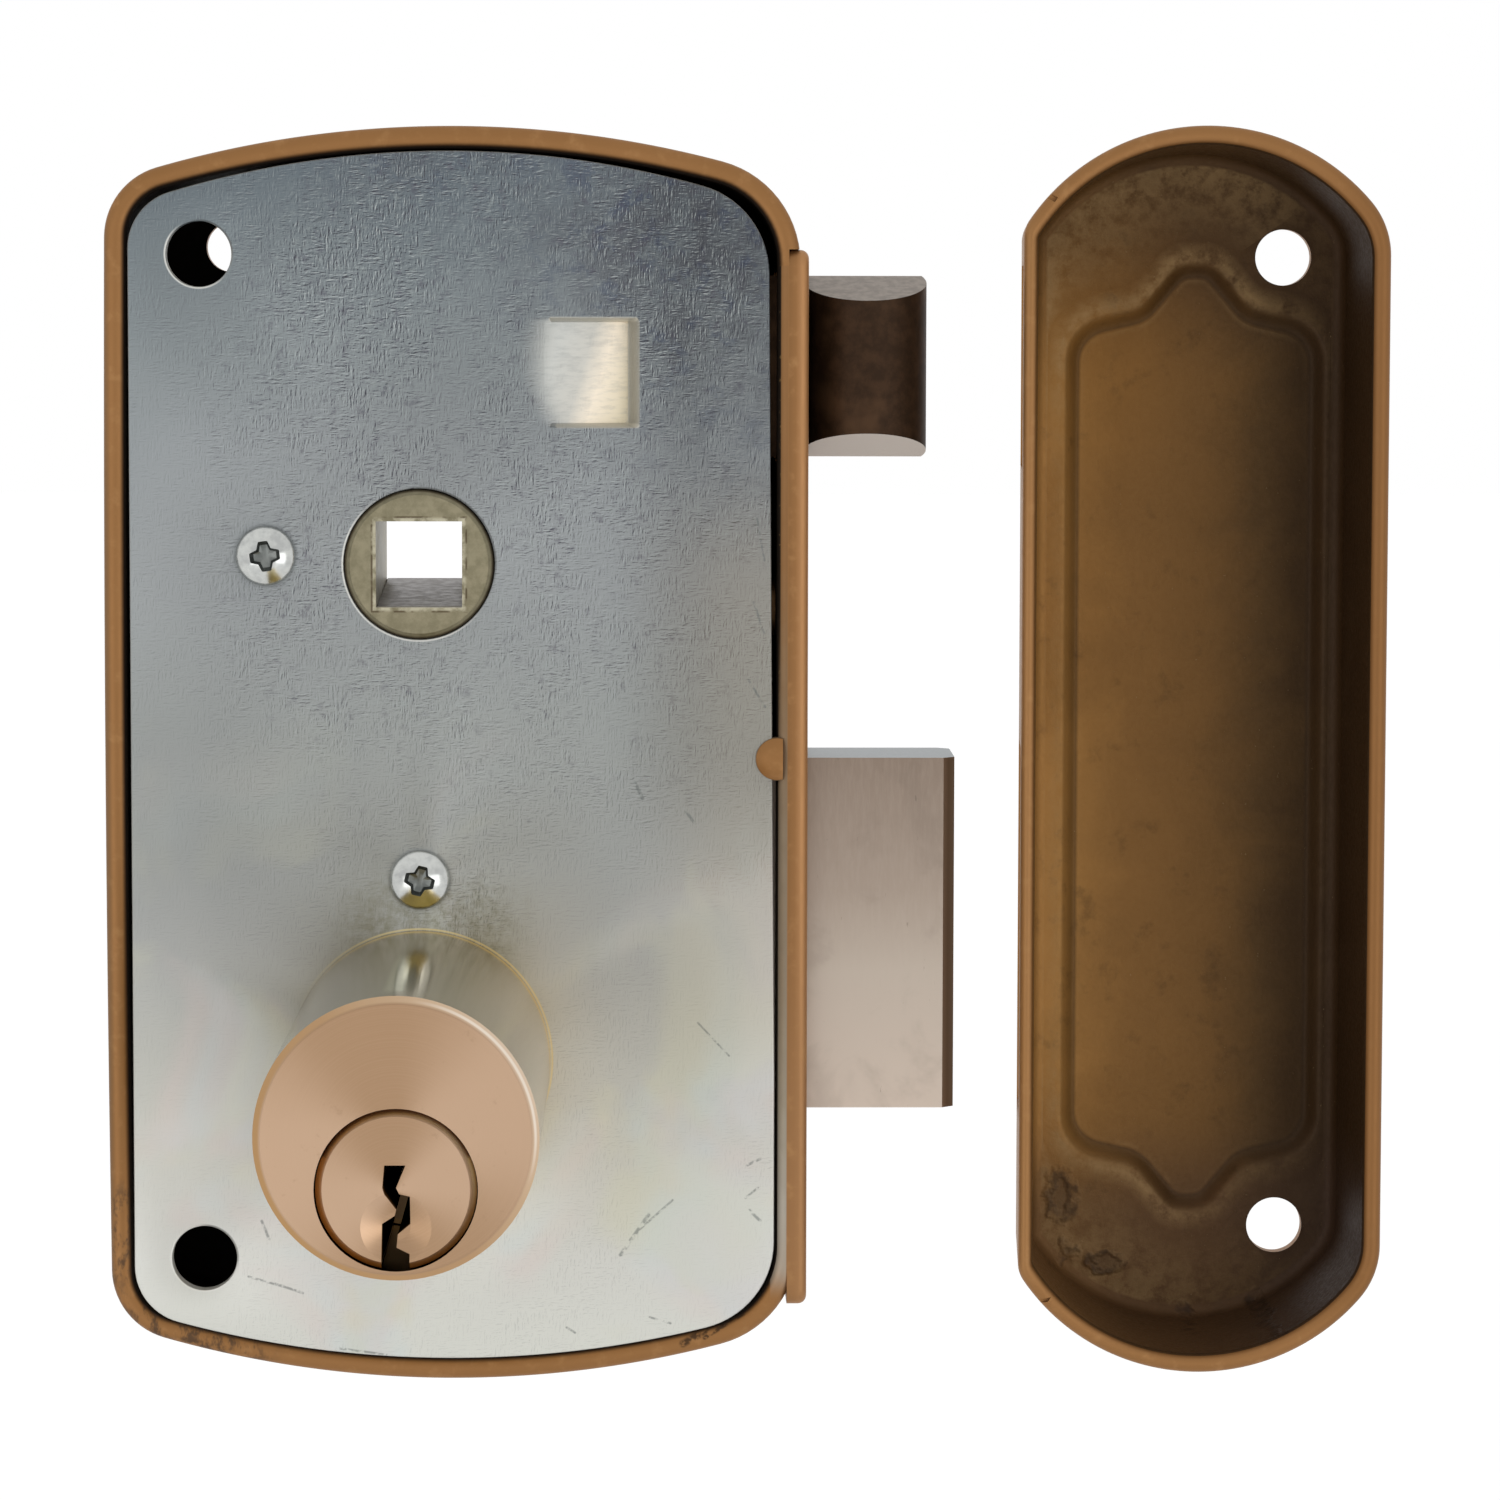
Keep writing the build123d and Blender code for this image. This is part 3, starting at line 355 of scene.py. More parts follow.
def light_world():
    """Even white studio, a little dimmer in front and dim behind and below, so that
    the room side shows its form. The camera and mirrored rays see plain white."""
    world = bpy.data.worlds.new("studio")
    bpy.context.scene.world = world
    world.use_nodes = True
    graph = Graph(world.node_tree)
    where = graph.node("TexCoord").outputs["Generated"]

    def toward(direction, far, close, far_level, close_level):
        """Level by the cosine of the angle to a direction."""
        inputs = {0: where, 1: Vector(direction).normalized()}
        cosine = graph.value("VectorMath", "Value", inputs, operation="DOT_PRODUCT")
        return graph.spread(cosine, far, close, far_level, close_level)

    front = toward((0.22, -0.93, 0.30), 0.55, 1.0, 0.97, 0.72)
    behind = toward((-0.55, 0.65, -0.5), 0.1, 0.9, 1.0, 0.25)
    lit = graph.node("Background", {"Color": WHITE, "Strength": front * behind})
    seen = graph.node("Background", {"Color": WHITE, "Strength": 1.0})
    pick = graph.node("MixShader", {0: graph.backdrop_ray(), 1: lit.outputs[0], 2: seen.outputs[0]})
    graph.node("OutputWorld", {"Surface": pick.outputs[0]})


def soft_lamp(name, x, y, z):
    """Weak square lamp, turned towards the middle of the object."""
    light = bpy.data.lights.new(name, "AREA")
    light.shape = "RECTANGLE"
    light.size = light.size_y = 260.0 * MM
    light.energy = 0.3
    piece = link(bpy.data.objects.new(name, light))
    piece.location = Vector((x, y, z)) * MM
    aim = Vector((20.0, 0.0, 30.0)) * MM - piece.location
    piece.rotation_euler = aim.to_track_quat("-Z", "Y").to_euler()


def make_floor():
    """Pale floor well below the object. It keeps the soft shadow and is lifted to white
    for the rays that see the background."""
    mesh = bpy.data.meshes.new("floor")
    reach, height = FLOOR_REACH * MM, FLOOR_HEIGHT * MM
    corners = [(-reach, -reach, height), (reach, -reach, height), (reach, reach, height), (-reach, reach, height)]
    mesh.from_pydata(corners, [], [(0, 1, 2, 3)])
    piece = link(bpy.data.objects.new("floor", mesh))
    paint = Paint("floor_white", metallic=0.0, Specular_IOR_Level=0.0, Emission_Color=WHITE)
    paint.skin = paint.mix(paint.noise(0.004, 2.0), (236, 236, 236), (242, 242, 242))
    paint.set("Emission Strength", paint.backdrop_ray() * 0.25)
    mesh.materials.append(paint.finished(0.8))


# Outlines in the door's plane, as lists of (x, z)


def circle_through(a, b, c):
    """Circle through three points, as (x, z, radius)."""
    ax, ay, bx, by, cx, cy = *a, *b, *c
    scale = 2 * (ax * (by - cy) + bx * (cy - ay) + cx * (ay - by))
    sa, sb, sc = ax * ax + ay * ay, bx * bx + by * by, cx * cx + cy * cy
    x = (sa * (by - cy) + sb * (cy - ay) + sc * (ay - by)) / scale
    y = (sa * (cx - bx) + sb * (ax - cx) + sc * (bx - ax)) / scale
    return x, y, math.hypot(ax - x, ay - y)


def arc(center, start, end, count):
    """Points on the shorter arc about a centre, from start up to but not including end."""
    x, z = center
    radius = math.hypot(start[0] - x, start[1] - z)
    first = math.atan2(start[1] - z, start[0] - x)
    turn = math.atan2(end[1] - z, end[0] - x) - first
    turn = (turn + math.pi) % (2 * math.pi) - math.pi
    angles = [first + turn * i / count for i in range(count)]
    return [(x + radius * math.cos(angle), z + radius * math.sin(angle)) for angle in angles]


def run(start, end, count):
    return [
        (start[0] + (end[0] - start[0]) * i / count, start[1] + (end[1] - start[1]) * i / count)
        for i in range(count)
    ]


def meet(one, two):
    """Where two circles cross, on the left."""
    (x1, y1, r1), (x2, y2, r2) = one, two
    gap = math.hypot(x2 - x1, y2 - y1)
    along = (r1 * r1 - r2 * r2 + gap * gap) / (2 * gap)
    off = math.sqrt(max(r1 * r1 - along * along, 0.0))
    ux, uy = (x2 - x1) / gap, (y2 - y1) / gap
    return min((x1 + along * ux - side * off * uy, y1 + along * uy + side * off * ux) for side in (1, -1))


def onto(end, point):
    """The point of a circle straight out from another point."""
    x, z, radius = end
    far = math.hypot(point[0] - x, point[1] - z)
    return x + (point[0] - x) * radius / far, z + (point[1] - z) * radius / far


END_COUNT, CORNER_COUNT, SIDE_COUNT = 56, 14, 70


def end_circles(left, right, bottom, top, top_drop, low_drop, bow=0.0):
    """Circles of the arched ends, which meet the sides the drops away from top and bottom."""
    middle = (left + right) / 2
    return [
        circle_through((left + bow, corner), (middle, end), (right, corner))
        for corner, end in ((top - top_drop, top), (bottom + low_drop, bottom))
    ]


def corner_center(x, corner, end, up):
    """Centre at x of a corner circle that touches an end circle from inside."""
    cx, cz, radius = end
    return x, cz + up * math.sqrt((radius - corner) ** 2 - (x - cx) ** 2)


def ends_and_sides(left, right, ends, left_circle, left_corner, right_corner):
    """Closed outline with arched ends, a straight right side and a left side that may bow."""
    upper, lower = ends
    high_right, low_right = (
        corner_center(right - right_corner, right_corner, end, up) for end, up in ((upper, 1), (lower, -1))
    )
    if left_circle is None:
        high_left, low_left = (
            corner_center(left + left_corner, left_corner, end, up) for end, up in ((upper, 1), (lower, -1))
        )
        left_high, left_low = (left, high_left[1]), (left, low_left[1])
    else:
        x, z, radius = left_circle
        inner = (x, z, radius - left_corner)
        high_left, low_left = (meet(inner, (cx, cz, radius - left_corner)) for cx, cz, radius in ends)
        left_high, left_low = onto(left_circle, high_left), onto(left_circle, low_left)
    right_high, right_low = (right, high_right[1]), (right, low_right[1])
    points = arc(upper[:2], onto(upper, high_left), onto(upper, high_right), END_COUNT)
    points += arc(high_right, onto(upper, high_right), right_high, CORNER_COUNT)
    points += run(right_high, right_low, SIDE_COUNT)
    points += arc(low_right, right_low, onto(lower, low_right), CORNER_COUNT)
    points += arc(lower[:2], onto(lower, low_right), onto(lower, low_left), END_COUNT)
    points += arc(low_left, onto(lower, low_left), left_low, CORNER_COUNT)
    if left_circle is None:
        points += run(left_low, left_high, SIDE_COUNT)
    else:
        points += arc(left_circle[:2], left_low, left_high, SIDE_COUNT)
    return points + arc(high_left, left_high, onto(upper, high_left), CORNER_COUNT)


def case_ring(inset, side, lean):
    """Outline of the case, drawn in from its rim; its right side has no draft."""
    left, right = CASE_LEFT + inset + lean, CASE_RIGHT - side
    top, bottom = CASE_TOP - inset - lean, CASE_BOTTOM + inset + lean
    drop = CASE_END_RADIUS - math.sqrt(CASE_END_RADIUS**2 - ((right - left) / 2) ** 2)
    ends = end_circles(left, right, bottom, top, drop, drop, CASE_BOW)
    high, low = (left + CASE_BOW, top - drop), (left + CASE_BOW, bottom + drop)
    side_circle = circle_through(low, (left, (top + bottom) / 2), high)
    corners = (corner - inset - lean for corner in (CASE_CORNER, CASE_RIGHT_CORNER))
    return ends_and_sides(left, right, ends, side_circle, *corners)


def keep_ring(inset, side, lean):
    """Outline of the keep: straight sides and nearly half-round ends."""
    left, right = KEEP_LEFT + side + lean, KEEP_RIGHT - inset - lean
    top, bottom = KEEP_TOP - inset - lean, KEEP_BOTTOM + inset + lean
    radius = KEEP_END_RADIUS - inset - lean
    drop = radius - math.sqrt(radius**2 - ((right - left) / 2) ** 2)
    ends = end_circles(left, right, bottom, top, drop, drop)
    left_corner = max(KEEP_LEFT_CORNER - inset, 0.2)
    return ends_and_sides(left, right, ends, None, left_corner, KEEP_RIGHT_CORNER - inset - lean)


def rounded(points, radius, count):
    """Closed polygon with its corners rounded, all alike or each by its own radius."""
    out = []
    total = len(points)
    radii = [radius] * total if isinstance(radius, float) else radius
    for i, here in enumerate(points):
        here = Vector(here)
        back = (Vector(points[i - 1]) - here).normalized()
        ahead = (Vector(points[(i + 1) % total]) - here).normalized()
        half = back.angle(ahead) / 2
        reach = radii[i] / math.tan(half)
        center = here + (back + ahead).normalized() * (radii[i] / math.sin(half))
        out += arc(tuple(center), tuple(here + back * reach), tuple(here + ahead * reach), count)
        out.append(tuple(here + ahead * reach))
    return out


def panel_ring(panel, grow):
    """Outline of the raised panel: straight sides with an ogee at each end."""
    left, right, bottom, top = panel
    middle, half = (left + right) / 2, (right - left) / 2
    tip = half * TIP_SHARE + grow * TIP_GROWTH
    waist = half * WAIST_SHARE + grow * WAIST_GROWTH
    end = (
        (-half - grow, 0.0), (-waist, PANEL_SHOULDER), (-tip, PANEL_PEAK),
        (tip, PANEL_PEAK), (waist, PANEL_SHOULDER), (half + grow, 0.0),
    )
    upper = [(middle + x, top + grow + z) for x, z in end]
    lower = [(middle - x, bottom - grow - z) for x, z in end]
    bends = [PANEL_CORNER + grow, PANEL_WAIST - 0.5 * grow, PANEL_TIP + grow * 0.6]
    bends += bends[::-1]
    return rounded(upper + lower, bends + bends, 9)


def circle(x, z, radius, count=64):
    return [
        (x + radius * math.cos(2 * math.pi * i / count), z + radius * math.sin(2 * math.pi * i / count))
        for i in range(count)
    ]


# Meshes


def ring(bm, points, y):
    return [bm.verts.new((x * MM, y * MM, z * MM)) for x, z in points]


def bridge(bm, one, two, index=0):
    for i, (low, high) in enumerate(zip(one, two)):
        j = (i + 1) % len(one)
        bm.faces.new((low, one[j], two[j], high)).material_index = index


def bridge_all(bm, rings, index=0):
    for one, two in zip(rings, rings[1:]):
        bridge(bm, one, two, index)


def loop_edges(bm, verts):
    found = []
    for i, vert in enumerate(verts):
        other = verts[(i + 1) % len(verts)]
        edge = bm.edges.get((vert, other))
        found.append(edge if edge else bm.edges.new((vert, other)))
    return found


def fill_between(bm, loops, index=0):
    """Flat faces inside the first loop and outside the others."""
    edges = [edge for loop in loops for edge in loop_edges(bm, loop)]
    made = bmesh.ops.triangle_fill(bm, use_beauty=True, use_dissolve=False, edges=edges)
    for item in made["geom"]:
        if isinstance(item, bmesh.types.BMFace):
            item.material_index = index


def cap(bm, verts, index=0):
    bm.faces.new(verts).material_index = index


def closed_skin(bm, rings):
    bridge_all(bm, rings)
    cap(bm, rings[0])
    cap(bm, rings[-1])


def to_object(bm, name, materials, sharp=35.0):
    bmesh.ops.recalc_face_normals(bm, faces=bm.faces[:])
    mesh = bpy.data.meshes.new(name)
    bm.to_mesh(mesh)
    bm.free()
    for material in materials:
        mesh.materials.append(material)
    piece = link(bpy.data.objects.new(name, mesh))
    smooth(piece, sharp)
    return piece


def smooth(piece, sharp=35.0):
    mesh = piece.data
    mesh.polygons.foreach_set("use_smooth", [True] * len(mesh.polygons))
    mesh.set_sharp_from_angle(angle=math.radians(sharp))


def cut(piece, cutter, sharp=35.0):
    """Take a cutter out of a piece for good. The cutter is used up."""
    modifier = piece.modifiers.new("cut", "BOOLEAN")
    modifier.operation = "DIFFERENCE"
    modifier.solver = "EXACT"
    modifier.object = cutter
    bpy.context.view_layer.update()
    graph = bpy.context.evaluated_depsgraph_get()
    mesh = bpy.data.meshes.new_from_object(piece.evaluated_get(graph))
    piece.modifiers.clear()
    old = piece.data
    piece.data = mesh
    name = old.name
    bpy.data.meshes.remove(old)
    mesh.name = name
    bpy.data.objects.remove(cutter)
    smooth(piece, sharp)


def turned(bm, profile, x, z, count):
    """Turn a profile of (radius, depth), from axis to axis, about an axis square to the door."""
    rings = []
    for radius, depth in profile:
        outline = [(x, z)] if radius == 0 else circle(x, z, radius, count)
        rings.append(ring(bm, outline, depth))
    for one, two in zip(rings, rings[1:]):
        for i in range(count):
            j = (i + 1) % count
            if len(one) == 1:
                bm.faces.new((one[0], two[j], two[i]))
            elif len(two) == 1:
                bm.faces.new((one[i], one[j], two[0]))
            else:
                bm.faces.new((one[i], one[j], two[j], two[i]))


def box_points(left, right, bottom, top):
    return [(left, bottom), (right, bottom), (right, top), (left, top)]


def make_cutter(name, material, *prisms):
    """Object to cut with, made of prisms of (outline, near depth, far depth)."""
    bm = bmesh.new()
    for points, near, far in prisms:
        closed_skin(bm, [ring(bm, points, near), ring(bm, points, far)])
    return to_object(bm, name, [material])


def smoothstep(share):
    return share * share * (3 - 2 * share)


WALL_DEPTHS = (2.0, 4.0, 8.0, 12.0)
BEAD_DEPTH = 1.3
# Share of the roll from which the rim has the inside's material
INSIDE_FROM = 0.93
BEND_STEPS = 8


def shell_rings(outline, wall, side_wall, edge, bead):
    """Rings of a drawn shell, from the outer front edge over the rolled rim to the inner floor.

    Each is (depth, outline, inside or not, shade). A bead widens the rim inwards,
    and the shade falls from 0 to -1 over the rim, for painted shade on its inner side."""
    rings = []
    knee = CASE_DEPTH - edge
    for i in range(BEND_STEPS + 1):
        turn = math.pi / 2 * (1 - i / BEND_STEPS)
        inset = edge * (1 - math.cos(turn))
        rings.append((knee + edge * math.sin(turn), outline(inset, inset, knee * DRAFT), False, 0.0))
    for y in WALL_DEPTHS[::-1]:
        rings.append((y, outline(0.0, 0.0, y * DRAFT), False, 0.0))
    for i in range(BEND_STEPS * 2 + 1):
        turn = math.pi * i / (BEND_STEPS * 2)
        share = (1 - math.cos(turn)) / 2
        y = ROLL * (1 - math.sin(turn))
        points = outline((wall + bead) * share, side_wall * share, y * DRAFT)
        rings.append((y, points, share > INSIDE_FROM, -share))
    if bead:
        rings.append((BEAD_DEPTH, outline(wall + bead * 0.8, side_wall, 0.0), True, 0.0))
    for y in WALL_DEPTHS:
        rings.append((y, outline(wall, side_wall, y * DRAFT), True, 0.0))
    inner_edge = edge - FRONT_WALL
    for i in range(BEND_STEPS + 1):
        turn = math.pi / 2 * i / BEND_STEPS
        inset = inner_edge * (1 - math.cos(turn))
        y = knee + inner_edge * math.sin(turn)
        rings.append((y, outline(wall + inset, side_wall + inset, knee * DRAFT), True, 0.0))
    return rings


def shade_ring(bm, points, y, shade):
    """Ring whose points carry a shade for painted light, 1 for a painted highlight along a bend and -1 for painted
    shade in a crease.
    """
    layer = bm.verts.layers.float.get("shade") or bm.verts.layers.float.new("shade")
    verts = ring(bm, points, y)
    for vert in verts:
        vert[layer] = shade
    return verts


def press_panel(bm, edge_ring, panel, depth, index):
    """Flat of a cover with its pressed panel. The ridge rings stay on the flat. The rings carry the shade for
    painted highlights and painted shade along the bends.
    """
    rings = []
    low, high = min(v.co.x for v in edge_ring) / MM, max(v.co.x for v in edge_ring) / MM
    for step, (grow, shade) in enumerate(PANEL_RIDGES):
        held = 0.05 + 0.04 * step
        points = [(min(max(x, low + held), high - held), z) for x, z in panel_ring(panel, PANEL_SLOPE + grow)]
        rings.append(shade_ring(bm, points, depth, shade))
    for i in range(PANEL_STEPS + 1):
        share = i / PANEL_STEPS
        points = panel_ring(panel, PANEL_SLOPE * (1 - share))
        rings.append(shade_ring(bm, points, depth + PANEL_RISE * smoothstep(share), 0.7 - 1.7 * share))
    rings.append(shade_ring(bm, panel_ring(panel, -0.35), depth + PANEL_RISE, 0.25))
    rings.append(shade_ring(bm, panel_ring(panel, -0.8), depth + PANEL_RISE, 0.0))
    fill_between(bm, (edge_ring, rings[0]), index)
    bridge_all(bm, rings, index)
    cap(bm, rings[-1], index)


def make_shell(name, outline, wall, side_wall, edge, panel, bead, materials):
    bm = bmesh.new()
    rings = []
    for y, points, inside, shade in shell_rings(outline, wall, side_wall, edge, bead):
        rings.append((shade_ring(bm, points, y, shade), inside))
    # The floor's edge carries a shade for the painted highlight round the floor
    layer = bm.verts.layers.float.get("shade")
    for vert in rings[-1][0]:
        vert[layer] = 0.9
    for (one, _), (two, inside) in zip(rings, rings[1:]):
        bridge(bm, one, two, int(inside))
    press_panel(bm, rings[0][0], panel, CASE_DEPTH, 0)
    press_panel(bm, rings[-1][0], panel, CASE_DEPTH - FRONT_WALL, 1)
    return to_object(bm, name, materials)


def make_case(materials):
    piece = make_shell("case_shell", case_ring, CASE_WALL, CASE_SIDE_WALL, CASE_EDGE, CASE_PANEL, 0.0, materials)
    openings = [(circle(x, z, COVER_HOLE_RADIUS), *THROUGH_COVER) for x, z in COVER_HOLES]
    openings.append((circle(*FOLLOWER, HUB_HOLE_RADIUS), *THROUGH_COVER))
    openings.append((circle(0.0, 0.0, CYLINDER_HOLE_RADIUS, 96), *THROUGH_COVER))
    for low, high, near in CASE_WINDOWS:
        openings.append((box_points(*THROUGH_SIDE, low, high), near, WINDOW_BACK))
    cut(piece, make_cutter("case_cutter", materials[0], *openings))
    seat = (box_points(SEAT, THROUGH_SIDE[1], SEAT_LOW, SEAT_HIGH), -2.0, 22.0)
    cut(piece, make_cutter("seat_cutter", materials[0], seat))
    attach(piece, "lock_case")
    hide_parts("case_cover")


def make_stake(material):
    """Drop of metal staked over the plate's edge, cut straight beside the faceplate."""
    bm = bmesh.new()
    profile = ((0.0, -0.75), (0.9, -0.68), (1.55, -0.46), (2.0, -0.15), (2.1, 0.25), (0.0, 0.3))
    turned(bm, profile, *STAKE, 48)
    stake = to_object(bm, "stake", [material])
    cut(stake, make_cutter("stake_cutter", material, (box_points(34.7, 37.0, 25.0, 33.0), -2.0, 1.0)))
    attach(stake, "lock_case")


def make_bore_floor(material):
    """Tapered floor of the follower's square bore, higher towards the room side."""
    bm = bmesh.new()
    x, z = FOLLOWER
    floor = z - BORE_HALF
    half, soft, steps = BORE_HALF - 0.02, 0.12, 8
    front, back = BORE_DEPTHS
    rings = []
    for i in range(steps + 1):
        share = i / steps
        top = floor + 0.04 + BORE_FLOOR_RISE * share**1.1
        points = (
            (x - half, floor - 0.02), (x + half, floor - 0.02), (x + half, top - soft * share),
            (x + half - soft, top), (x - half + soft, top), (x - half, top - soft * share),
        )
        rings.append(ring(bm, points, front + (back - front) * share))
    closed_skin(bm, rings)
    piece = to_object(bm, "bore_floor", [material])
    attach(piece, "follower")


def make_keep(materials):
    piece = make_shell("keep_case", keep_ring, KEEP_WALL, KEEP_WALL, KEEP_EDGE, KEEP_PANEL, KEEP_BEAD, materials)
    openings = [(circle(x, z, KEEP_HOLE_RADIUS), *THROUGH_COVER) for x, z in KEEP_HOLES]
    for low, high in KEEP_WINDOWS:
        openings.append((box_points(56.0, 60.5, low, high), KEEP_WINDOW_FRONT, WINDOW_BACK))
    # Nicks where the rolled rim ends against the flat side
    for z, lean in KEEP_NICKS:
        nick = [(59.2, z + lean), (60.4, z - 0.25), (60.7, z + 0.2), (59.4, z + lean + 0.45)]
        openings.append((nick, -1.0, 0.55))
    cut(piece, make_cutter("keep_cutter", materials[0], *openings))
    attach(piece, "lock_case")
    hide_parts("keep_shell")


PLATE_EDGE = 0.25
PLATE_THICK = 1.5
PLATE_LEFT, PLATE_RIGHT = -27.55, 33.75
PLATE_BOTTOM, PLATE_TOP = -29.0, 86.8
PLATE_END_RADII = (92.0, 101.0)
PLATE_CORNERS = (5.6, 8.6)
PLATE_LEAN = 0.008 / 33.0
RAMP = (11.9, 21.0, 60.6, 71.05)
RAMP_DEPTH = 2.0
RAMP_WALL = 1.1
RAMP_SOFT = 0.45
RAMP_STEPS = 5
PLATE_HOLES = (
    (-20.8, -19.2, 3.1), (-20.8, 77.0, 3.1), (*FOLLOWER, HUB_HOLE_RADIUS), (*SCREWS[0], 1.55), (*SCREWS[1], 1.55),
    (0.0, PLUG_Z, 5.6), (-8.2, 4.6, 2.05), (8.2, 4.6, 2.05),
)


def plate_ring(inset):
    """Outline of the mounting plate, which leaves the widest gap at the upper right."""
    left, right, bottom, top = PLATE_LEFT + inset, PLATE_RIGHT - inset, PLATE_BOTTOM + inset, PLATE_TOP - inset
    half = (right - left) / 2
    drops = (radius - inset - math.sqrt((radius - inset) ** 2 - half**2) for radius in PLATE_END_RADII)
    corners = (corner - inset for corner in PLATE_CORNERS)
    points = ends_and_sides(left, right, end_circles(left, right, bottom, top, *drops), None, *corners)
    return [(x - PLATE_LEAN * max(-26.0, z - 24.0) * max(0.0, x), z) for x, z in points]


def make_plate(material):
    """Mounting plate with its pressed ramp, rounded edge and rounded holes."""
    bm = bmesh.new()
    left, right, low, high = RAMP
    slope = RAMP_DEPTH / (right - RAMP_WALL - left)

    def side(back):
        """The front or the back of the plate: its outline, and the loops of its holes."""
        grow, level = 0.3 * back, PLATE_THICK * back
        outer = ring(bm, plate_ring(0.0 if back else PLATE_EDGE), level)
        loops = [ring(bm, circle(x, z, radius + (0.0 if back else 0.18), 72), level) for x, z, radius in PLATE_HOLES]
        rings = []
        for i in range(RAMP_STEPS + 1):
            share = i / RAMP_STEPS
            fall, soft = smoothstep(share), RAMP_SOFT * share
            place = box_points(
                left - grow + 0.2 * share, right + grow - RAMP_WALL * share, low - grow + soft, high + grow - soft
            )
            rings.append([
                bm.verts.new((x * MM, (level + fall * max(0.0, (x - left) * slope)) * MM, z * MM))
                for x, z in rounded(place, 0.5, 5)
            ])
        fill_between(bm, (outer, *loops, rings[0]))
        bridge_all(bm, rings)
        cap(bm, rings[-1])
        return outer, loops

    front, front_loops = side(0)
    back, back_loops = side(1)
    bridge_all(bm, [front, ring(bm, plate_ring(0.07), 0.07), ring(bm, plate_ring(0.0), PLATE_EDGE), back])
    for (x, z, radius), one, two in zip(PLATE_HOLES, front_loops, back_loops):
        rim, wall = (ring(bm, circle(x, z, radius + grow, 72), y) for grow, y in ((0.05, 0.06), (0.0, 0.2)))
        bridge_all(bm, [one, rim, wall, two])
    piece = to_object(bm, "plate_sheet", [material], 40.0)
    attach(piece, "lock_case")
    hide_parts("mounting_plate")


def cross(reach, half, bend):
    """Outline of a cross recess."""
    points = []
    for turn in range(4):
        for x, z in ((reach, -half), (reach, half), (half + bend, half + bend)):
            for _ in range(turn):
                x, z = -z, x
            points.append((x, z))
    return points


def make_screws(materials):
    """Domed screws with a cross recess and a threaded shank."""
    bm = bmesh.new()
    cutter = bmesh.new()
    recess = rounded(cross(1.5, 0.46, 0.24), 0.14, 4)
    for (x, z), turn in zip(SCREWS, SCREW_TURNS):
        profile = [(0.0, -SCREW_HEIGHT)]
        for i in range(1, 11):
            radius = SCREW_RADIUS * i / 10
            profile.append((radius, SCREW_DOME - SCREW_HEIGHT - math.sqrt(SCREW_DOME**2 - radius * radius)))
        profile += [(2.84, -0.3), (2.8, -0.06), (2.7, 0.0), (1.5, 0.0)]
        for i in range(24):
            profile.append((1.45 if i % 2 else 1.2, 0.3 + 0.35 * i))
        profile += [(1.1, 8.8), (0.0, 9.0)]
        turned(bm, profile, x, z, 56)
        c, s = math.cos(math.radians(turn)), math.sin(math.radians(turn))
        rings = []
        for y, scale in ((-1.8, 1.1), (-1.2, 0.95), (-0.75, 0.72), (-0.6, 0.4)):
            points = [(x + (px * c - pz * s) * scale, z + (px * s + pz * c) * scale) for px, pz in recess]
            rings.append(ring(cutter, points, y))
        closed_skin(cutter, rings)
    piece = to_object(bm, "dome_screws", materials, 28.0)
    cut(piece, to_object(cutter, "screw_cutter", materials[1:]), 28.0)
    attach(piece, "lock_case")
    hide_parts("plate_screws")


# Materials


def bronze(name):
    """Bronze paint with a faint cloud in it: the paint, its grain and its roughness."""
    paint = Paint(name, metallic=0.5, Specular_IOR_Level=0.25)
    fine = paint.noise(0.5, 3.0, 0.6)
    paint.bump(paint.noise(0.35, 2.0, 0.5), 0.15, 0.04)
    return paint, fine, paint.spread(fine, 0.3, 0.7, 0.42, 0.5)


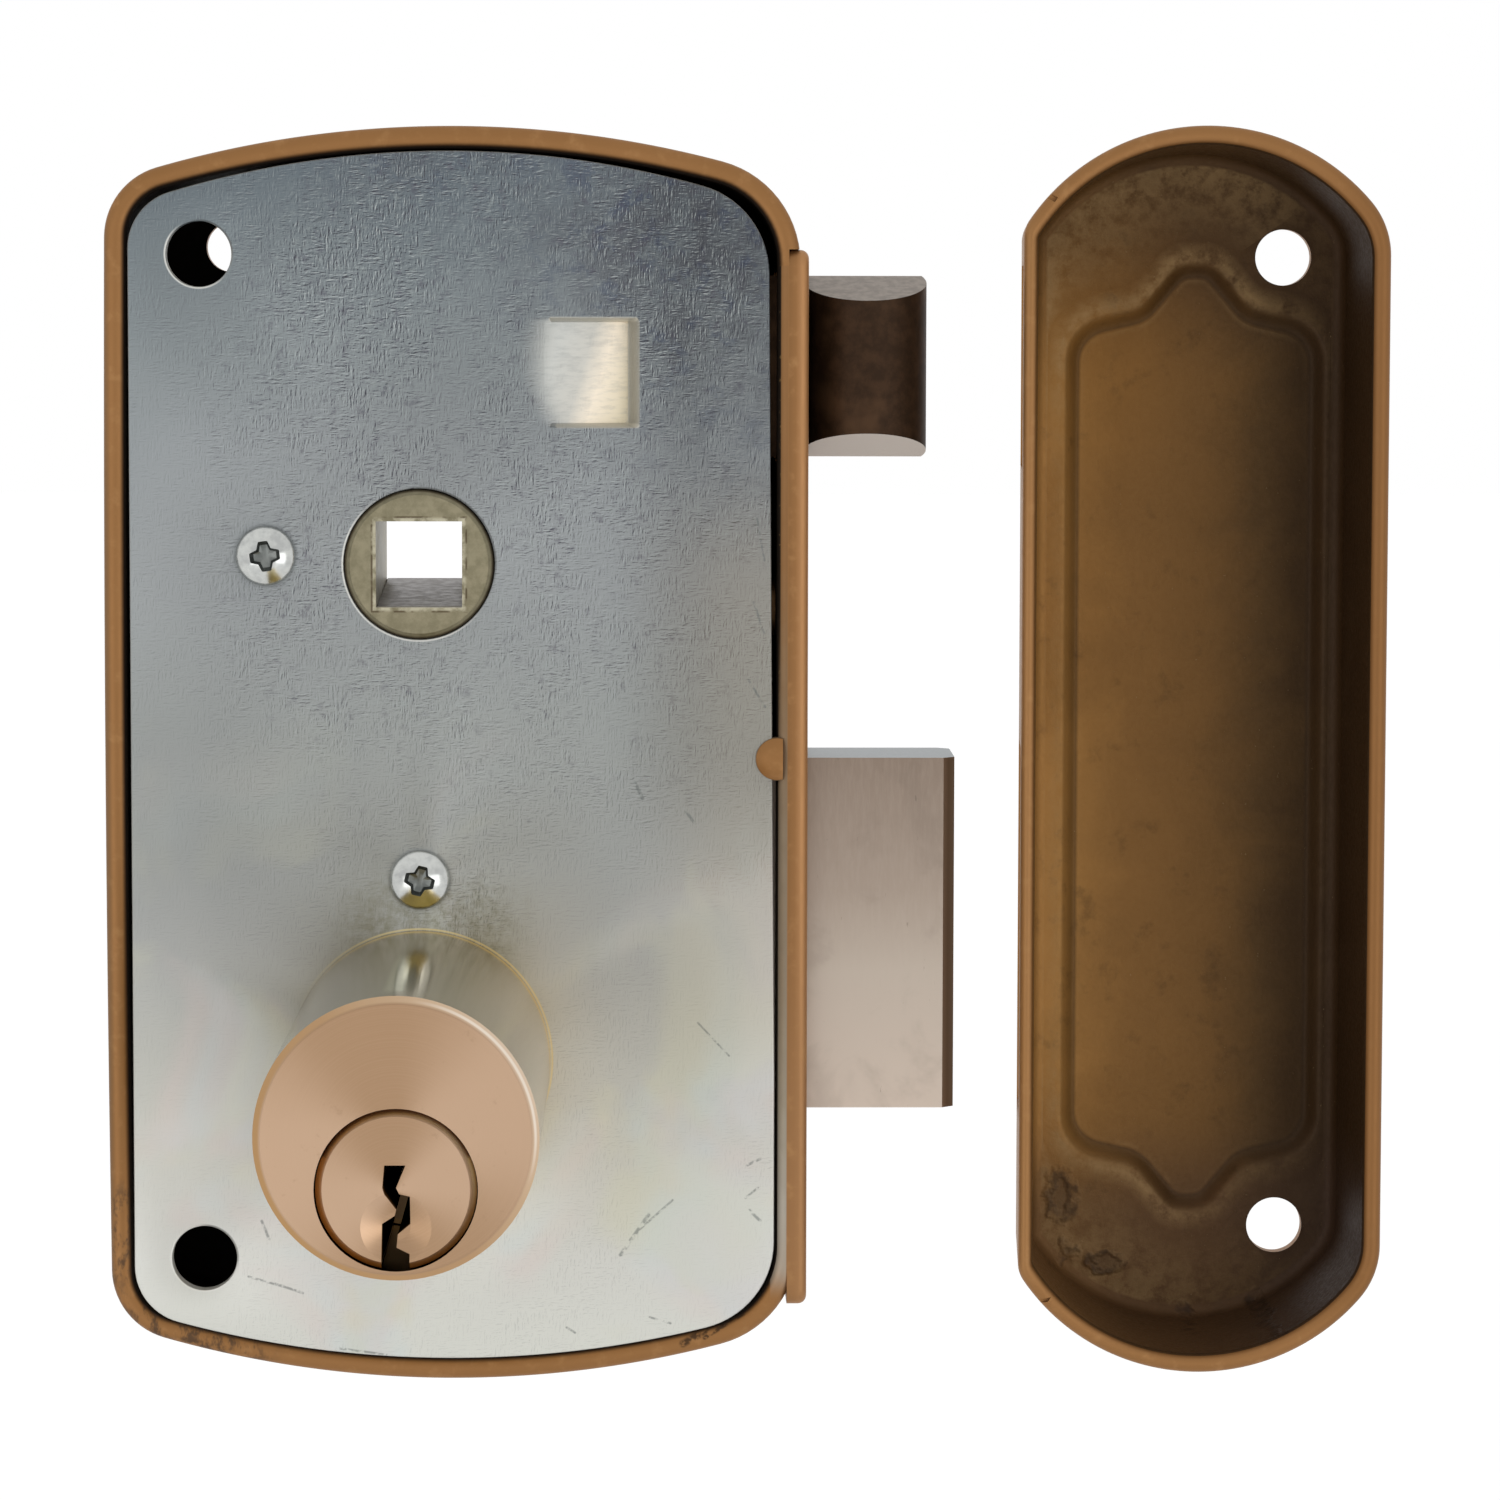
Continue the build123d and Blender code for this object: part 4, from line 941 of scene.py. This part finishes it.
def case_paint():
    """Bronze of the case and keep, scuffed at the lower corners; the side wall's edge is rubbed bare below. Painted
    shade and painted highlights lie along its sides, the panel's bends, the rim and the gap by the plate.
    """
    paint, fine, rough = bronze("case_bronze")
    spread, fall = paint.spread, paint.fall
    x, y, z = paint.x, paint.y, paint.z
    paint.skin = paint.mix(paint.noise(0.06, 2.0), (144, 102, 58), (158, 113, 68))
    paint.coat(spread(fine, 0.5, 0.8), (168, 124, 78))
    # Painted shade on the case's left edge and on the keep's right side, painted light on the keep's left side
    paint.coat(spread(x, -29.9, -29.2, 0.5, 0.0), (112, 90, 66))
    paint.coat(spread(x, 84.0, 92.0, 0.0, 0.75), (134, 92, 50))
    paint.coat(spread(x, 56.0, 60.0, 0.5, 0.0) * spread(x, 50.0, 52.0), (176, 132, 84))
    # Painted shade at the foot of the panel's slope and a painted highlight at its top, on the cover
    turn = paint.shade() * -1.0
    cover = spread(y, 15.0, 17.0)
    paint.coat(cover * spread(turn, -0.3, -1.0) * 0.35, (104, 72, 40))
    paint.coat(cover * spread(turn, 0.5, 1.0) * 0.3, (182, 138, 90))
    # Painted shade on the inner side of the rolled rim, dark on the case and tan on the keep
    shallow = fall(y, 1.2, 3.0)
    paint.coat(spread(turn, 0.72, 0.93) * shallow, paint.mix(spread(x, 45.0, 50.0), (46, 27, 12), (122, 82, 42)))
    # Scuffs at the lower left corner and a chip at the lower right one
    rubbed = spread(paint.noise(0.5, 4.0, 0.7, paint.stretch((1.0, 1.0, 0.5))), 0.46, 0.6)
    corner = paint.most(paint.box(-31.0, -27.0, -21.5, -12.5, 1.5), paint.box(-29.0, -15.0, -30.0, -21.0, 2.0))
    paint.coat(rubbed * corner * shallow * 0.75, (62, 50, 42))
    chip = paint.scratches(((25.2, -27.6), (29.6, -25.0), 0.5), ((27.3, -27.0), (31.0, -24.7), 0.3))
    paint.coat(chip * shallow * spread(paint.noise(1.2), 0.4, 0.55) * 0.85, (52, 36, 22))
    # Edge of the side wall beside the faceplate
    lip = fall(y, 1.5, 2.0) * spread(y, -0.06, -0.02)
    bare = paint.ramp(
        z + fine * 6.0,
        (
            (-24.0, 150, 112, 78), (-19.0, 168, 152, 134), (-12.0, 168, 160, 148), (-2.0, 156, 146, 130),
            (10.0, 146, 132, 114), (24.0, 134, 118, 98), (38.0, 130, 104, 76), (50.0, 136, 98, 60),
            (70.0, 142, 102, 62),
        ),
    )
    paint.coat(paint.box(33.6, 35.15, -40.0, 76.0, 0.08) * spread(z, -23.5, -20.0) * lip, bare)
    # Painted shade in the gap between the plate's edge and the side wall
    crease = paint.box(33.0, 34.45, 32.0, 76.0, 0.06) * spread(z, 30.0, 44.0)
    crease = crease * spread(y, 0.05, 0.2) * fall(y, 1.2, 2.0)
    paint.coat(crease, paint.mix(spread(paint.noise(1.6), 0.6, 0.7), (34, 26, 18), (110, 88, 54)))
    return paint.finished(rough)


def faceplate_paint():
    """The same bronze, with painted shade towards the case and a painted highlight along its rounded edge, and
    lighter towards the bottom.
    """
    paint, fine, rough = bronze("faceplate_bronze")
    stops = ((35.2, 138, 98, 58), (36.0, 152, 108, 65), (36.55, 178, 131, 86), (37.2, 172, 124, 78))
    # Painted shade towards the case and a painted highlight where the edge rounds
    paint.skin = paint.ramp(paint.x + fine * 0.3, stops)
    paint.coat(paint.spread(paint.z, 24.0, -10.0) * 0.7, (158, 116, 76))
    paint.coat(paint.spread(fine, 0.5, 0.85), (176, 132, 86))
    return paint.finished(rough)


def case_inside():
    """Inside of the case, which shows through the fixing holes only: painted almost black, as painted shade in the
    closed box.
    """
    paint = Paint("inside_dark", metallic=0.2, Specular_IOR_Level=0.15)
    grain = paint.noise(1.5, 3.0, 0.6)
    paint.skin = paint.mix(grain, (20, 14, 9), (34, 24, 15))
    return paint.finished(paint.spread(grain, 0.3, 0.7, 0.6, 0.75))


# Dried drips in the keep's lower end: place, radius and how flat they are
DRIPS = (
    (62.9, -16.6, 1.3, 0.6), (63.6, -21.6, 0.6, 0.8), (67.4, -22.9, 1.6, 1.7), (75.4, -27.8, 0.3, 1.0),
    (82.4, -26.6, 0.6, 1.2),
)


def inside_paint():
    """Thin bronze lacquer inside the keep: golden to the left and dark to the right as painted shade, with painted
    highlights and painted shade along the bends.
    """
    paint = Paint("inside_bronze", metallic=0.3, Specular_IOR_Level=0.15)
    spread, fall = paint.spread, paint.fall
    x, y, z = paint.x, paint.y, paint.z
    blotch = paint.noise(0.09, 4.0, 0.6, warp=0.6)
    grain = paint.noise(2.2, 3.0, 0.7)
    # Painted shade: golden to the left, darker to the right
    paint.skin = paint.ramp(
        x + (blotch - 0.5) * 9.0,
        (
            (57.0, 170, 122, 66), (63.0, 152, 110, 58), (69.0, 126, 90, 47), (77.0, 110, 78, 40),
            (82.5, 82, 59, 31), (86.0, 64, 45, 23), (89.0, 58, 40, 22), (92.0, 52, 34, 16),
        ),
    )
    # Painted shade towards both end walls, redder below
    paint.coat(spread(z + blotch * 8.0, 68.0, 84.0) * 0.75, (66, 46, 27))
    paint.coat(spread(z + blotch * 6.0, -4.0, -16.0) * 0.6, (66, 48, 38))
    # Painted pool of light on the keep's floor at the upper left
    paint.coat(fall(paint.distance(66.0, 69.0, 0.6), 0.0, 12.0) * 0.45, (132, 90, 38))
    # Bends: painted highlight on the ridge outside the panel, painted shade in the crease in it, painted highlight
    # round the floor
    shade = paint.shade()
    ends = paint.most(spread(z, 58.0, 70.0), spread(z, 2.0, -12.0) * spread(x, 80.0, 70.0))
    uneven = paint.patches(0.5, 0.3, 0.62)
    ridge = paint.most(shade, 0.0) * (ends * 0.35 + 0.2) * uneven * spread(x, 90.0, 80.0, 0.15, 1.0)
    paint.coat(ridge, (160, 130, 88))
    paint.coat(paint.most(shade * -1.0, 0.0) * 0.6, (48, 32, 14))
    # Painted highlight just inside the rim at the two right corners
    upper = spread(z, 66.0, 72.0) * fall(z, 82.0, 87.0)
    lower = spread(z, -5.0, -9.0) * fall(z, -20.0, -24.0)
    thin = paint.near(y, 2.2, 0.15, 0.5) * spread(x, 85.0, 88.0)
    paint.coat(thin * paint.most(upper, lower) * 0.5, (170, 142, 106))
    # Specks and stains
    paint.coat(spread(grain, 0.68, 0.76) * 0.4, (150, 128, 96))
    paint.coat(paint.patches(0.25, 0.55, 0.75) * 0.35, (56, 38, 18))
    wobble = (paint.noise(0.75, 2.0, 0.5) - 0.5) * 2.4
    rings = []
    for drip_x, drip_z, radius, squash in DRIPS:
        edge = paint.distance(drip_x, drip_z, squash) + wobble
        rings.append(paint.near(edge, radius, 0.05, 0.7))
        paint.coat(fall(edge, radius - 0.4, radius + 0.2) * 0.45, (66, 48, 34))
    runs = paint.most(*rings)
    paint.coat(runs * spread(paint.noise(0.7), 0.36, 0.6, 0.15, 1.0) * 0.6, (38, 26, 18))
    paint.bump(grain + runs * 3.0, 0.3, 0.12)
    return paint.finished(spread(grain, 0.3, 0.7, 0.45, 0.6))


# Scratches on the plate: start, end and width
PLATE_MARKS = (
    ((-15.3, -15.6), (-14.6, -17.4), 0.2), ((-16.6, -21.0), (-13.2, -22.0), 0.16),
    ((-14.0, -21.7), (-11.4, -22.6), 0.18), ((19.0, -19.2), (21.9, -15.0), 0.26),
    ((20.4, -17.0), (24.2, -13.6), 0.16), ((5.9, 28.8), (6.0, 28.7), 0.3),
    ((20.6, 26.7), (21.3, 25.2), 0.24), ((25.3, 24.2), (26.2, 22.9), 0.2),
    ((26.6, 3.6), (29.6, 0.4), 0.14), ((31.4, -10.2), (32.6, -9.6), 0.2),
    ((31.6, -14.6), (32.6, -15.6), 0.22), ((31.2, -13.4), (32.4, -12.4), 0.16),
    ((22.0, -25.0), (24.0, -25.6), 0.16), ((14.0, -26.0), (14.8, -26.5), 0.16),
    ((-8.0, -28.0), (-3.4, -28.6), 0.16), ((32.2, 52.0), (32.9, 48.0), 0.14),
    ((31.9, 44.0), (32.9, 41.0), 0.16), ((31.4, 36.6), (33.0, 34.0), 0.16),
)
# Passivation tints: grain, colour and strength
PLATE_TINTS = ((0.045, (218, 200, 196), 0.4), (0.06, (212, 210, 182), 0.4), (0.05, (200, 216, 220), 0.3))


def ramp_sheen(paint):
    """Painted sheen on the pressed ramp, which comes up softly from the left, with painted shade on its steep wall
    and painted highlights along its edges.
    """
    x, z = paint.x, paint.z
    glow = paint.ramp(
        x + (66.0 - z) * 0.3,
        (
            (9.0, 168, 170, 166), (12.5, 204, 205, 200), (15.5, 208, 206, 198), (17.5, 250, 238, 218),
            (20.5, 232, 220, 192),
        ),
    )
    drop = z - 67.5
    sheet = paint.spread(x - drop * drop * 0.05, 9.2, 12.8) * paint.fall(x, 19.8, 20.1)
    sheet = sheet * paint.spread(z, 60.5, 61.0) * paint.fall(z, 70.6, 71.2)
    scratchy = paint.spread(paint.streaks(0.6, 1.0, 2.4), 0.3, 0.6, 0.8, 1.0)
    paint.coat(sheet * scratchy, glow)
    # Painted shade on the ramp's steep wall
    wall_shade = paint.spread(x, 19.8, 20.05) * paint.fall(x, 20.75, 21.0) * paint.box(10.0, 30.0, 60.7, 71.0, 0.15)
    paint.coat(wall_shade * 0.8, (112, 112, 104))
    # Painted highlights along the ramp's top and bottom edges
    lines = paint.scratches(((12.6, 70.9), (20.6, 70.9), 0.32), ((13.2, 60.8), (20.8, 60.8), 0.3))
    paint.coat(lines * 0.6, (226, 222, 208))


def plate_zinc():
    """Rolled zinc sheet: short strokes both ways, blue-black mottling above and tints below; it runs from pale below
    to dark above as painted reflection, with painted shade, highlights and reflections on it.
    """
    paint = Paint("plate_zinc", metallic=0.5, Specular_IOR_Level=0.35)
    spread, fall, distance = paint.spread, paint.fall, paint.distance
    x, z = paint.x, paint.z
    cloud = paint.noise(0.05, 3.0, 0.6, warp=0.4)
    # Painted reflection: pale below, dark blue-grey above
    paint.skin = paint.ramp(
        z + (cloud - 0.5) * 12.0,
        (
            (-30.0, 220, 221, 213), (-20.0, 214, 214, 208), (-10.0, 203, 202, 194), (0.0, 188, 188, 181),
            (10.0, 173, 174, 171), (20.0, 164, 167, 165), (32.0, 159, 163, 161), (46.0, 155, 159, 160),
            (58.0, 150, 155, 157), (68.0, 140, 147, 149), (78.0, 121, 130, 134), (88.0, 106, 117, 124),
        ),
    )
    # Mottling, strongest at the upper right, part spangle and part painted reflection
    spots = spread(paint.noise(0.16, 5.0, 0.7, warp=0.5), 0.4, 0.62)
    flank = spread(x, 20.0, 30.0) * spread(z, 44.0, 66.0) * 0.45
    upper = spread(z, 79.0, 87.0) * spread(x, -14.0, -2.0) * 0.5
    dark = paint.most(fall(distance(28.0, 82.0, 0.8), 4.0, 26.0), flank, upper)
    paint.coat(dark * spread(spots, 0.0, 1.0, 0.4, 0.85), (84, 86, 92))
    paint.coat(paint.patches(0.3, 0.5, 0.64) * dark * 0.6, (58, 70, 98))
    # Short strokes, each with a painted highlight and painted shade on its flanks
    emboss = paint.strokes(0.0) - paint.strokes(0.07)
    field = spread(x, -26.0, -8.0, 0.3, 1.0) * spread(z, 8.0, 52.0, 0.2, 1.0)
    field = field * spread(paint.noise(0.1, 3.0, 0.6), 0.36, 0.6, 0.45, 1.0)
    right_heart = spread(distance(24.0, 74.0, 0.7), 3.0, 10.0, 0.5, 0.0)
    heart = paint.most(right_heart, spread(distance(-5.0, 75.0, 0.8), 3.0, 12.0, 0.35, 0.0))
    field = field + heart * 1.5 + spread(distance(3.0, 15.0), 2.0, 7.0, 0.4, 0.0)
    paint.coat(spread(emboss, 0.02, 0.15) * field, (66, 66, 74))
    paint.coat(spread(emboss, -0.03, -0.19) * field * 0.75, (186, 192, 192))
    grit = paint.noise(0.8, 5.0, 0.75)
    gritty = spread(field, 0.1, 1.0)
    paint.coat(spread(grit, 0.52, 0.68) * gritty * 0.5, (84, 80, 94))
    paint.coat(spread(grit, 0.46, 0.34) * gritty * 0.35, (164, 172, 170))
    # Tints, stronger below, and warm painted light to the right
    low = spread(z, 40.0, -10.0)
    for scale, color, share in PLATE_TINTS:
        paint.coat(spread(paint.noise(scale, 3.0, 0.5, warp=0.8), 0.5, 0.66) * low * share, color)
    # Warm painted light to the right
    paint.coat(spread(x, 18.0, 32.0) * spread(z, 60.0, 44.0) * spread(z, -6.0, 6.0) * 0.3, (186, 170, 142))
    # Painted shade to the right, beside the lower screw and to the left, painted light round the cylinder
    paint.dim(spread(x, 16.0, 27.0) * spread(z, 14.0, 30.0), 0.74)
    paint.dim(fall(distance(4.0, 62.0, 1.2), 3.0, 17.0), 0.88)
    paint.dim(spread(x, -8.0, -20.0) * paint.box(-32.0, -4.0, 12.0, 36.0, 8.0), 0.84)
    cylinder = distance(0.0, 0.0)
    paint.dim(fall(cylinder, 12.0, 25.0) * spread(x, -8.0, 6.0), 1.22)
    # Painted reflection of the cylinder above it, dim
    paint.coat(paint.box(-7.0, 9.0, 8.0, 17.0, 3.5) * spread(grit, 0.3, 0.7) * 0.6, (122, 120, 88))
    # Painted highlight along the gap round the cylinder, to the upper right
    seam_highlight = paint.near(cylinder, 12.64, 0.04, 0.13) * spread(paint.lobe(paint.angle(0.0, 0.0), 45.0, 1), -0.4, 0.8)
    paint.coat(seam_highlight * 0.8, (232, 214, 160))
    ramp_sheen(paint)
    # Rims of the holes: painted highlight towards the lower left, painted shade towards the upper right
    for hole_x, hole_z, radius in PLATE_HOLES[:3]:
        side = paint.lobe(paint.angle(hole_x, hole_z), 222.0, 1)
        rim = paint.near(distance(hole_x, hole_z), radius + 0.08, 0.05, 0.17)
        paint.coat(rim * spread(side, -0.3, 0.5) * 0.8, (232, 232, 226))
        paint.coat(rim * spread(side, -0.4, -0.9) * 0.6, (60, 60, 58))
    marks = paint.scratches(*PLATE_MARKS)
    paint.coat(marks * spread(paint.noise(1.6), 0.38, 0.56) * 0.6, (98, 104, 102))
    # Painted highlight on the bevelled edge
    outer = paint.most(spread(paint.nz, 0.2, 0.5), spread(paint.nx, -0.2, -0.5))
    bevel_highlight = spread(abs(paint.ny), 0.96, 0.8) * outer * spread(distance(*FOLLOWER), 7.6, 8.0)
    paint.coat(bevel_highlight * 0.6, (196, 192, 180))
    paint.bump(emboss, 0.12, 0.05)
    return paint.finished(spread(emboss, -0.15, 0.15, 0.46, 0.54))


def simple_metal(name, dark, light, rough, metallic=1.0, scale=0.8, depth=0.03):
    paint = Paint(name, metallic=metallic)
    grain = paint.noise(scale, 4.0, 0.6)
    paint.skin = paint.mix(paint.spread(grain, 0.3, 0.7), dark, light)
    paint.bump(grain, 0.15, depth)
    return paint.finished(paint.spread(grain, 0.3, 0.7, rough - 0.05, rough + 0.06))


def latch_steel():
    """Dark brown steel, its brown a painted reflection of the bronze round it, bare on the two slanted ends, with
    painted light brightening the lower end.
    """
    paint = Paint("latch_brown", metallic=0.5, Specular_IOR_Level=0.15)
    grain = paint.noise(0.7, 5.0, 0.65)
    # Dark brown body: painted reflection of the bronze round it
    paint.skin = paint.mix(paint.spread(grain, 0.35, 0.7), (52, 36, 23), (68, 48, 32))
    paint.coat(paint.spread(paint.noise(0.2), 0.5, 0.7), (78, 56, 38))
    bare = paint.mix(paint.spread(paint.noise(1.2, 4.0, 0.6), 0.35, 0.65), (126, 116, 106), (148, 137, 126))
    # Bare slanted ends, found by their facing, the lower one brighter as painted light
    ends = paint.spread(abs(paint.nz), 0.08, 0.2)
    paint.coat(ends, paint.mix(paint.spread(paint.z, 62.0, 70.0), (192, 180, 168), bare))
    paint.bump(grain, 0.25, 0.08)
    return paint.finished(paint.spread(ends, 0.0, 1.0, 0.55, 0.4))


def deadbolt_steel():
    """Ground steel with a faint upright grain and small marks, darker upwards as painted shade, with a painted
    highlight on the top and painted light across the slanted face.
    """
    paint = Paint("deadbolt_ground", metallic=0.7, Specular_IOR_Level=0.3)
    spread = paint.spread
    grain = paint.noise(1.0, 4.0, 0.65, paint.stretch((3.4, 3.4, 0.5)))
    # Painted shade, darker upwards
    stops = ((-6.0, 210, 193, 178), (8.0, 196, 182, 168), (16.0, 172, 156, 142), (29.0, 146, 129, 115))
    paint.skin = paint.ramp(paint.z, stops)
    paint.coat(spread(grain, 0.35, 0.7) * 0.1, (206, 192, 178))
    paint.coat(spread(paint.noise(0.14, 4.0, 0.6, warp=0.5), 0.5, 0.68) * 0.2, (126, 112, 100))
    nicks = spread(paint.streaks(2.4, 1.0, 0.5), 0.68, 0.74)
    paint.coat(nicks * 0.4, (98, 86, 76))
    # Painted highlight on the top
    paint.coat(spread(paint.nz, 0.4, 0.8), (150, 157, 160))
    # Painted light across the slanted face
    slant = spread(paint.nx, 0.3, 0.6) * spread(paint.ny, -0.1, -0.4)
    paint.coat(slant, paint.ramp(paint.x, ((50.2, 176, 146, 120), (50.8, 140, 112, 88), (51.3, 150, 124, 100))))
    paint.bump(grain, 0.08, 0.02)
    return paint.finished(spread(grain, 0.3, 0.7, 0.36, 0.4))


def follower_zinc():
    """Die-cast hub: khaki skin, rubbed bright round the square, with painted shade in the gap round it and on the
    square's side walls.
    """
    paint = Paint("follower_zinc", metallic=0.75)
    spread, fall = paint.spread, paint.fall
    grain = paint.noise(0.9, 5.0, 0.65)
    paint.skin = paint.mix(spread(grain, 0.3, 0.7), (132, 125, 100), (155, 147, 121))
    square = paint.most(abs(paint.x - FOLLOWER[0]), abs(paint.z - FOLLOWER[1]))
    worn = spread(paint.noise(0.9, 4.0), 0.36, 0.6)
    paint.coat(fall(square, 4.25, 4.6) * worn * 0.7, (208, 202, 178))
    burr = paint.near(square, 4.5, 0.03, 0.14) * spread(paint.noise(0.6), 0.42, 0.56)
    paint.coat(burr * 0.75, (72, 54, 34))
    # Painted shade in the gap round the hub
    paint.coat(spread(paint.distance(*FOLLOWER), 6.8, 7.02) * 0.75, (64, 50, 32))
    # Inner walls of the square: the side walls streaked darker, partly painted shade
    ribs = spread(paint.streaks(0.4, 2.2, 0.3), 0.42, 0.58)
    wall = paint.mix(ribs * spread(abs(paint.nx), 0.5, 0.8), (134, 128, 124), (98, 78, 58))
    paint.coat(fall(square, 4.05, 4.12), wall)
    paint.bump(grain, 0.3, 0.08)
    return paint.finished(spread(grain, 0.3, 0.7, 0.34, 0.5))


def turned_brass(name, center_z, rim):
    """Turned brass: brushed tan face with two brighter sectors of painted sheen, a chamfer with a
    painted highlight to the upper right, and a polished khaki side, coloured by its facing as painted reflection."""
    paint = Paint(name)
    spread, fall, near = paint.spread, paint.fall, paint.near
    across, angle = paint.distance(0.0, center_z), paint.angle(0.0, center_z)
    inputs = {"W": across * 6.0, "Scale": 1.0, "Detail": 3.0}
    lines = paint.value("TexNoise", "Fac", inputs, noise_dimensions="1D")
    # Two brighter sectors of painted sheen
    sector_sheen = spread(paint.lobe(angle, 15.0, 2) + paint.noise(0.12, 2.0) * 0.6 - 0.3, -1.0, 1.0)
    paint.skin = paint.mix(sector_sheen, (182, 148, 116), (208, 175, 146))
    paint.coat(spread(lines, 0.4, 0.7) * 0.1, (214, 180, 150))
    paint.coat(paint.patches(0.5, 0.6, 0.72) * 0.3, (164, 132, 102))
    # Painted highlight on the chamfer, brightest to the upper right
    toward = paint.lobe(angle, 32.0, 1)
    chamfer = paint.ramp(
        toward,
        (
            (-1.0, 196, 154, 104), (0.0, 198, 160, 120), (0.5, 212, 180, 146), (0.85, 228, 200, 170),
            (1.0, 236, 212, 186),
        ),
    )
    paint.coat(spread(across, rim, rim + 0.3), chamfer)
    paint.coat(near(across, rim + 0.36, 0.05, 0.16) * spread(toward, 0.6, 0.95), (255, 240, 222))
    # Side, coloured by its facing as painted reflection, with a painted reflection of the screw above in it
    streak = paint.streaks(0.5, 0.03, 0.5)
    side = paint.ramp(
        paint.nx + (streak - 0.5) * 0.5,
        (
            (-1.0, 184, 166, 126), (-0.4, 184, 161, 98), (0.2, 196, 170, 94), (0.6, 226, 197, 128),
            (1.0, 246, 217, 168),
        ),
    )
    screw_reflection = near(paint.x, -0.25, 0.5, 1.3) * spread(paint.y, -48.0, -44.0) * fall(paint.y, -26.0, -16.0)
    side = paint.mix(screw_reflection * spread(paint.nz, 0.8, 0.9) * 0.85, side, (255, 248, 196))
    steep = abs(paint.ny)
    face = spread(steep, 0.3, 0.5)
    paint.skin = paint.mix(face, side, paint.skin)
    # Keyway, darker with depth as painted shade
    slot = spread(steep, 0.3, 0.15) * spread(across, 6.8, 6.6) * spread(paint.y, -49.9, -49.6)
    paint.coat(slot, paint.mix(spread(paint.y, -49.9, -47.6), (120, 82, 46), (16, 10, 6)))
    paint.set("Metallic", 1.0 - slot * 0.9)
    paint.set("Specular IOR Level", spread(slot, 0.0, 1.0, 0.5, 0.0))
    paint.bump(lines * face, 0.05, 0.01)
    return paint.finished(spread(face, 0.0, 1.0, 0.12, 0.36) + slot * 0.5)


def assign(material, *names):
    for name in names:
        slots = nodes[name].data.materials
        slots.clear()
        slots.append(material)


def dress_nodes(bright, hub):
    """Materials of the pieces that keep the shape of their solid."""
    assign(turned_brass("brass_turned", 0.0, 11.8), "outer_cylinder_body", "outer_chamber_caps")
    assign(turned_brass("plug_turned", PLUG_Z, 6.45), "outer_plug")
    inner = simple_metal("brass_inner", (206, 172, 122), (214, 182, 132), 0.3, scale=2.5, depth=0.01)
    assign(inner, "inner_cylinder_body", "inner_plug")
    pins = simple_metal("brass_pins", (190, 160, 96), (210, 182, 120), 0.25)
    assign(pins, "outer_driver_pins", "inner_driver_pins", "inner_chamber_caps")
    assign(simple_metal("brass_worn", (84, 62, 36), (108, 82, 48), 0.45), "outer_key_pins", "inner_key_pins")
    assign(faceplate_paint(), "faceplate")
    assign(simple_metal("rivet_bronze", (132, 96, 56), (164, 120, 74), 0.38, 0.5), "faceplate_rivets")
    assign(hub, "follower")
    assign(latch_steel(), "latch_bolt")
    assign(deadbolt_steel(), "deadbolt_head")
    assign(bright, "cylinder_screws", "crank_screw", "plug_clip")
    spring = simple_metal("spring_steel", (120, 122, 126), (160, 162, 166), 0.25)
    assign(spring, "latch_spring", "brake_spring", "outer_pin_springs", "inner_pin_springs")
    steel = simple_metal("sheet_steel", (138, 142, 146), (172, 175, 178), 0.32)
    assign(
        steel, "latch_guide", "spring_tab", "plate_posts", "post_bush", "latch_tail",
        "deadbolt_tail", "deadbolt_rivets", "drive_crank",
    )


place_camera()
light_world()
soft_lamp("left_low", -260.0, -420.0, -60.0)
soft_lamp("right_low", 330.0, -400.0, -20.0)
make_floor()
bright = simple_metal("zinc_bright", (196, 198, 196), (224, 226, 222), 0.18)
hub = follower_zinc()
dress_nodes(bright, hub)
outside = case_paint()
make_case([outside, case_inside()])
make_stake(outside)
make_keep([outside, inside_paint()])
make_bore_floor(hub)
make_plate(plate_zinc())
# The darker zinc in the cross recesses is painted shade
make_screws([bright, simple_metal("recess_zinc", (108, 112, 110), (140, 143, 140), 0.4)])
bpy.context.scene.view_settings.view_transform = "Standard"
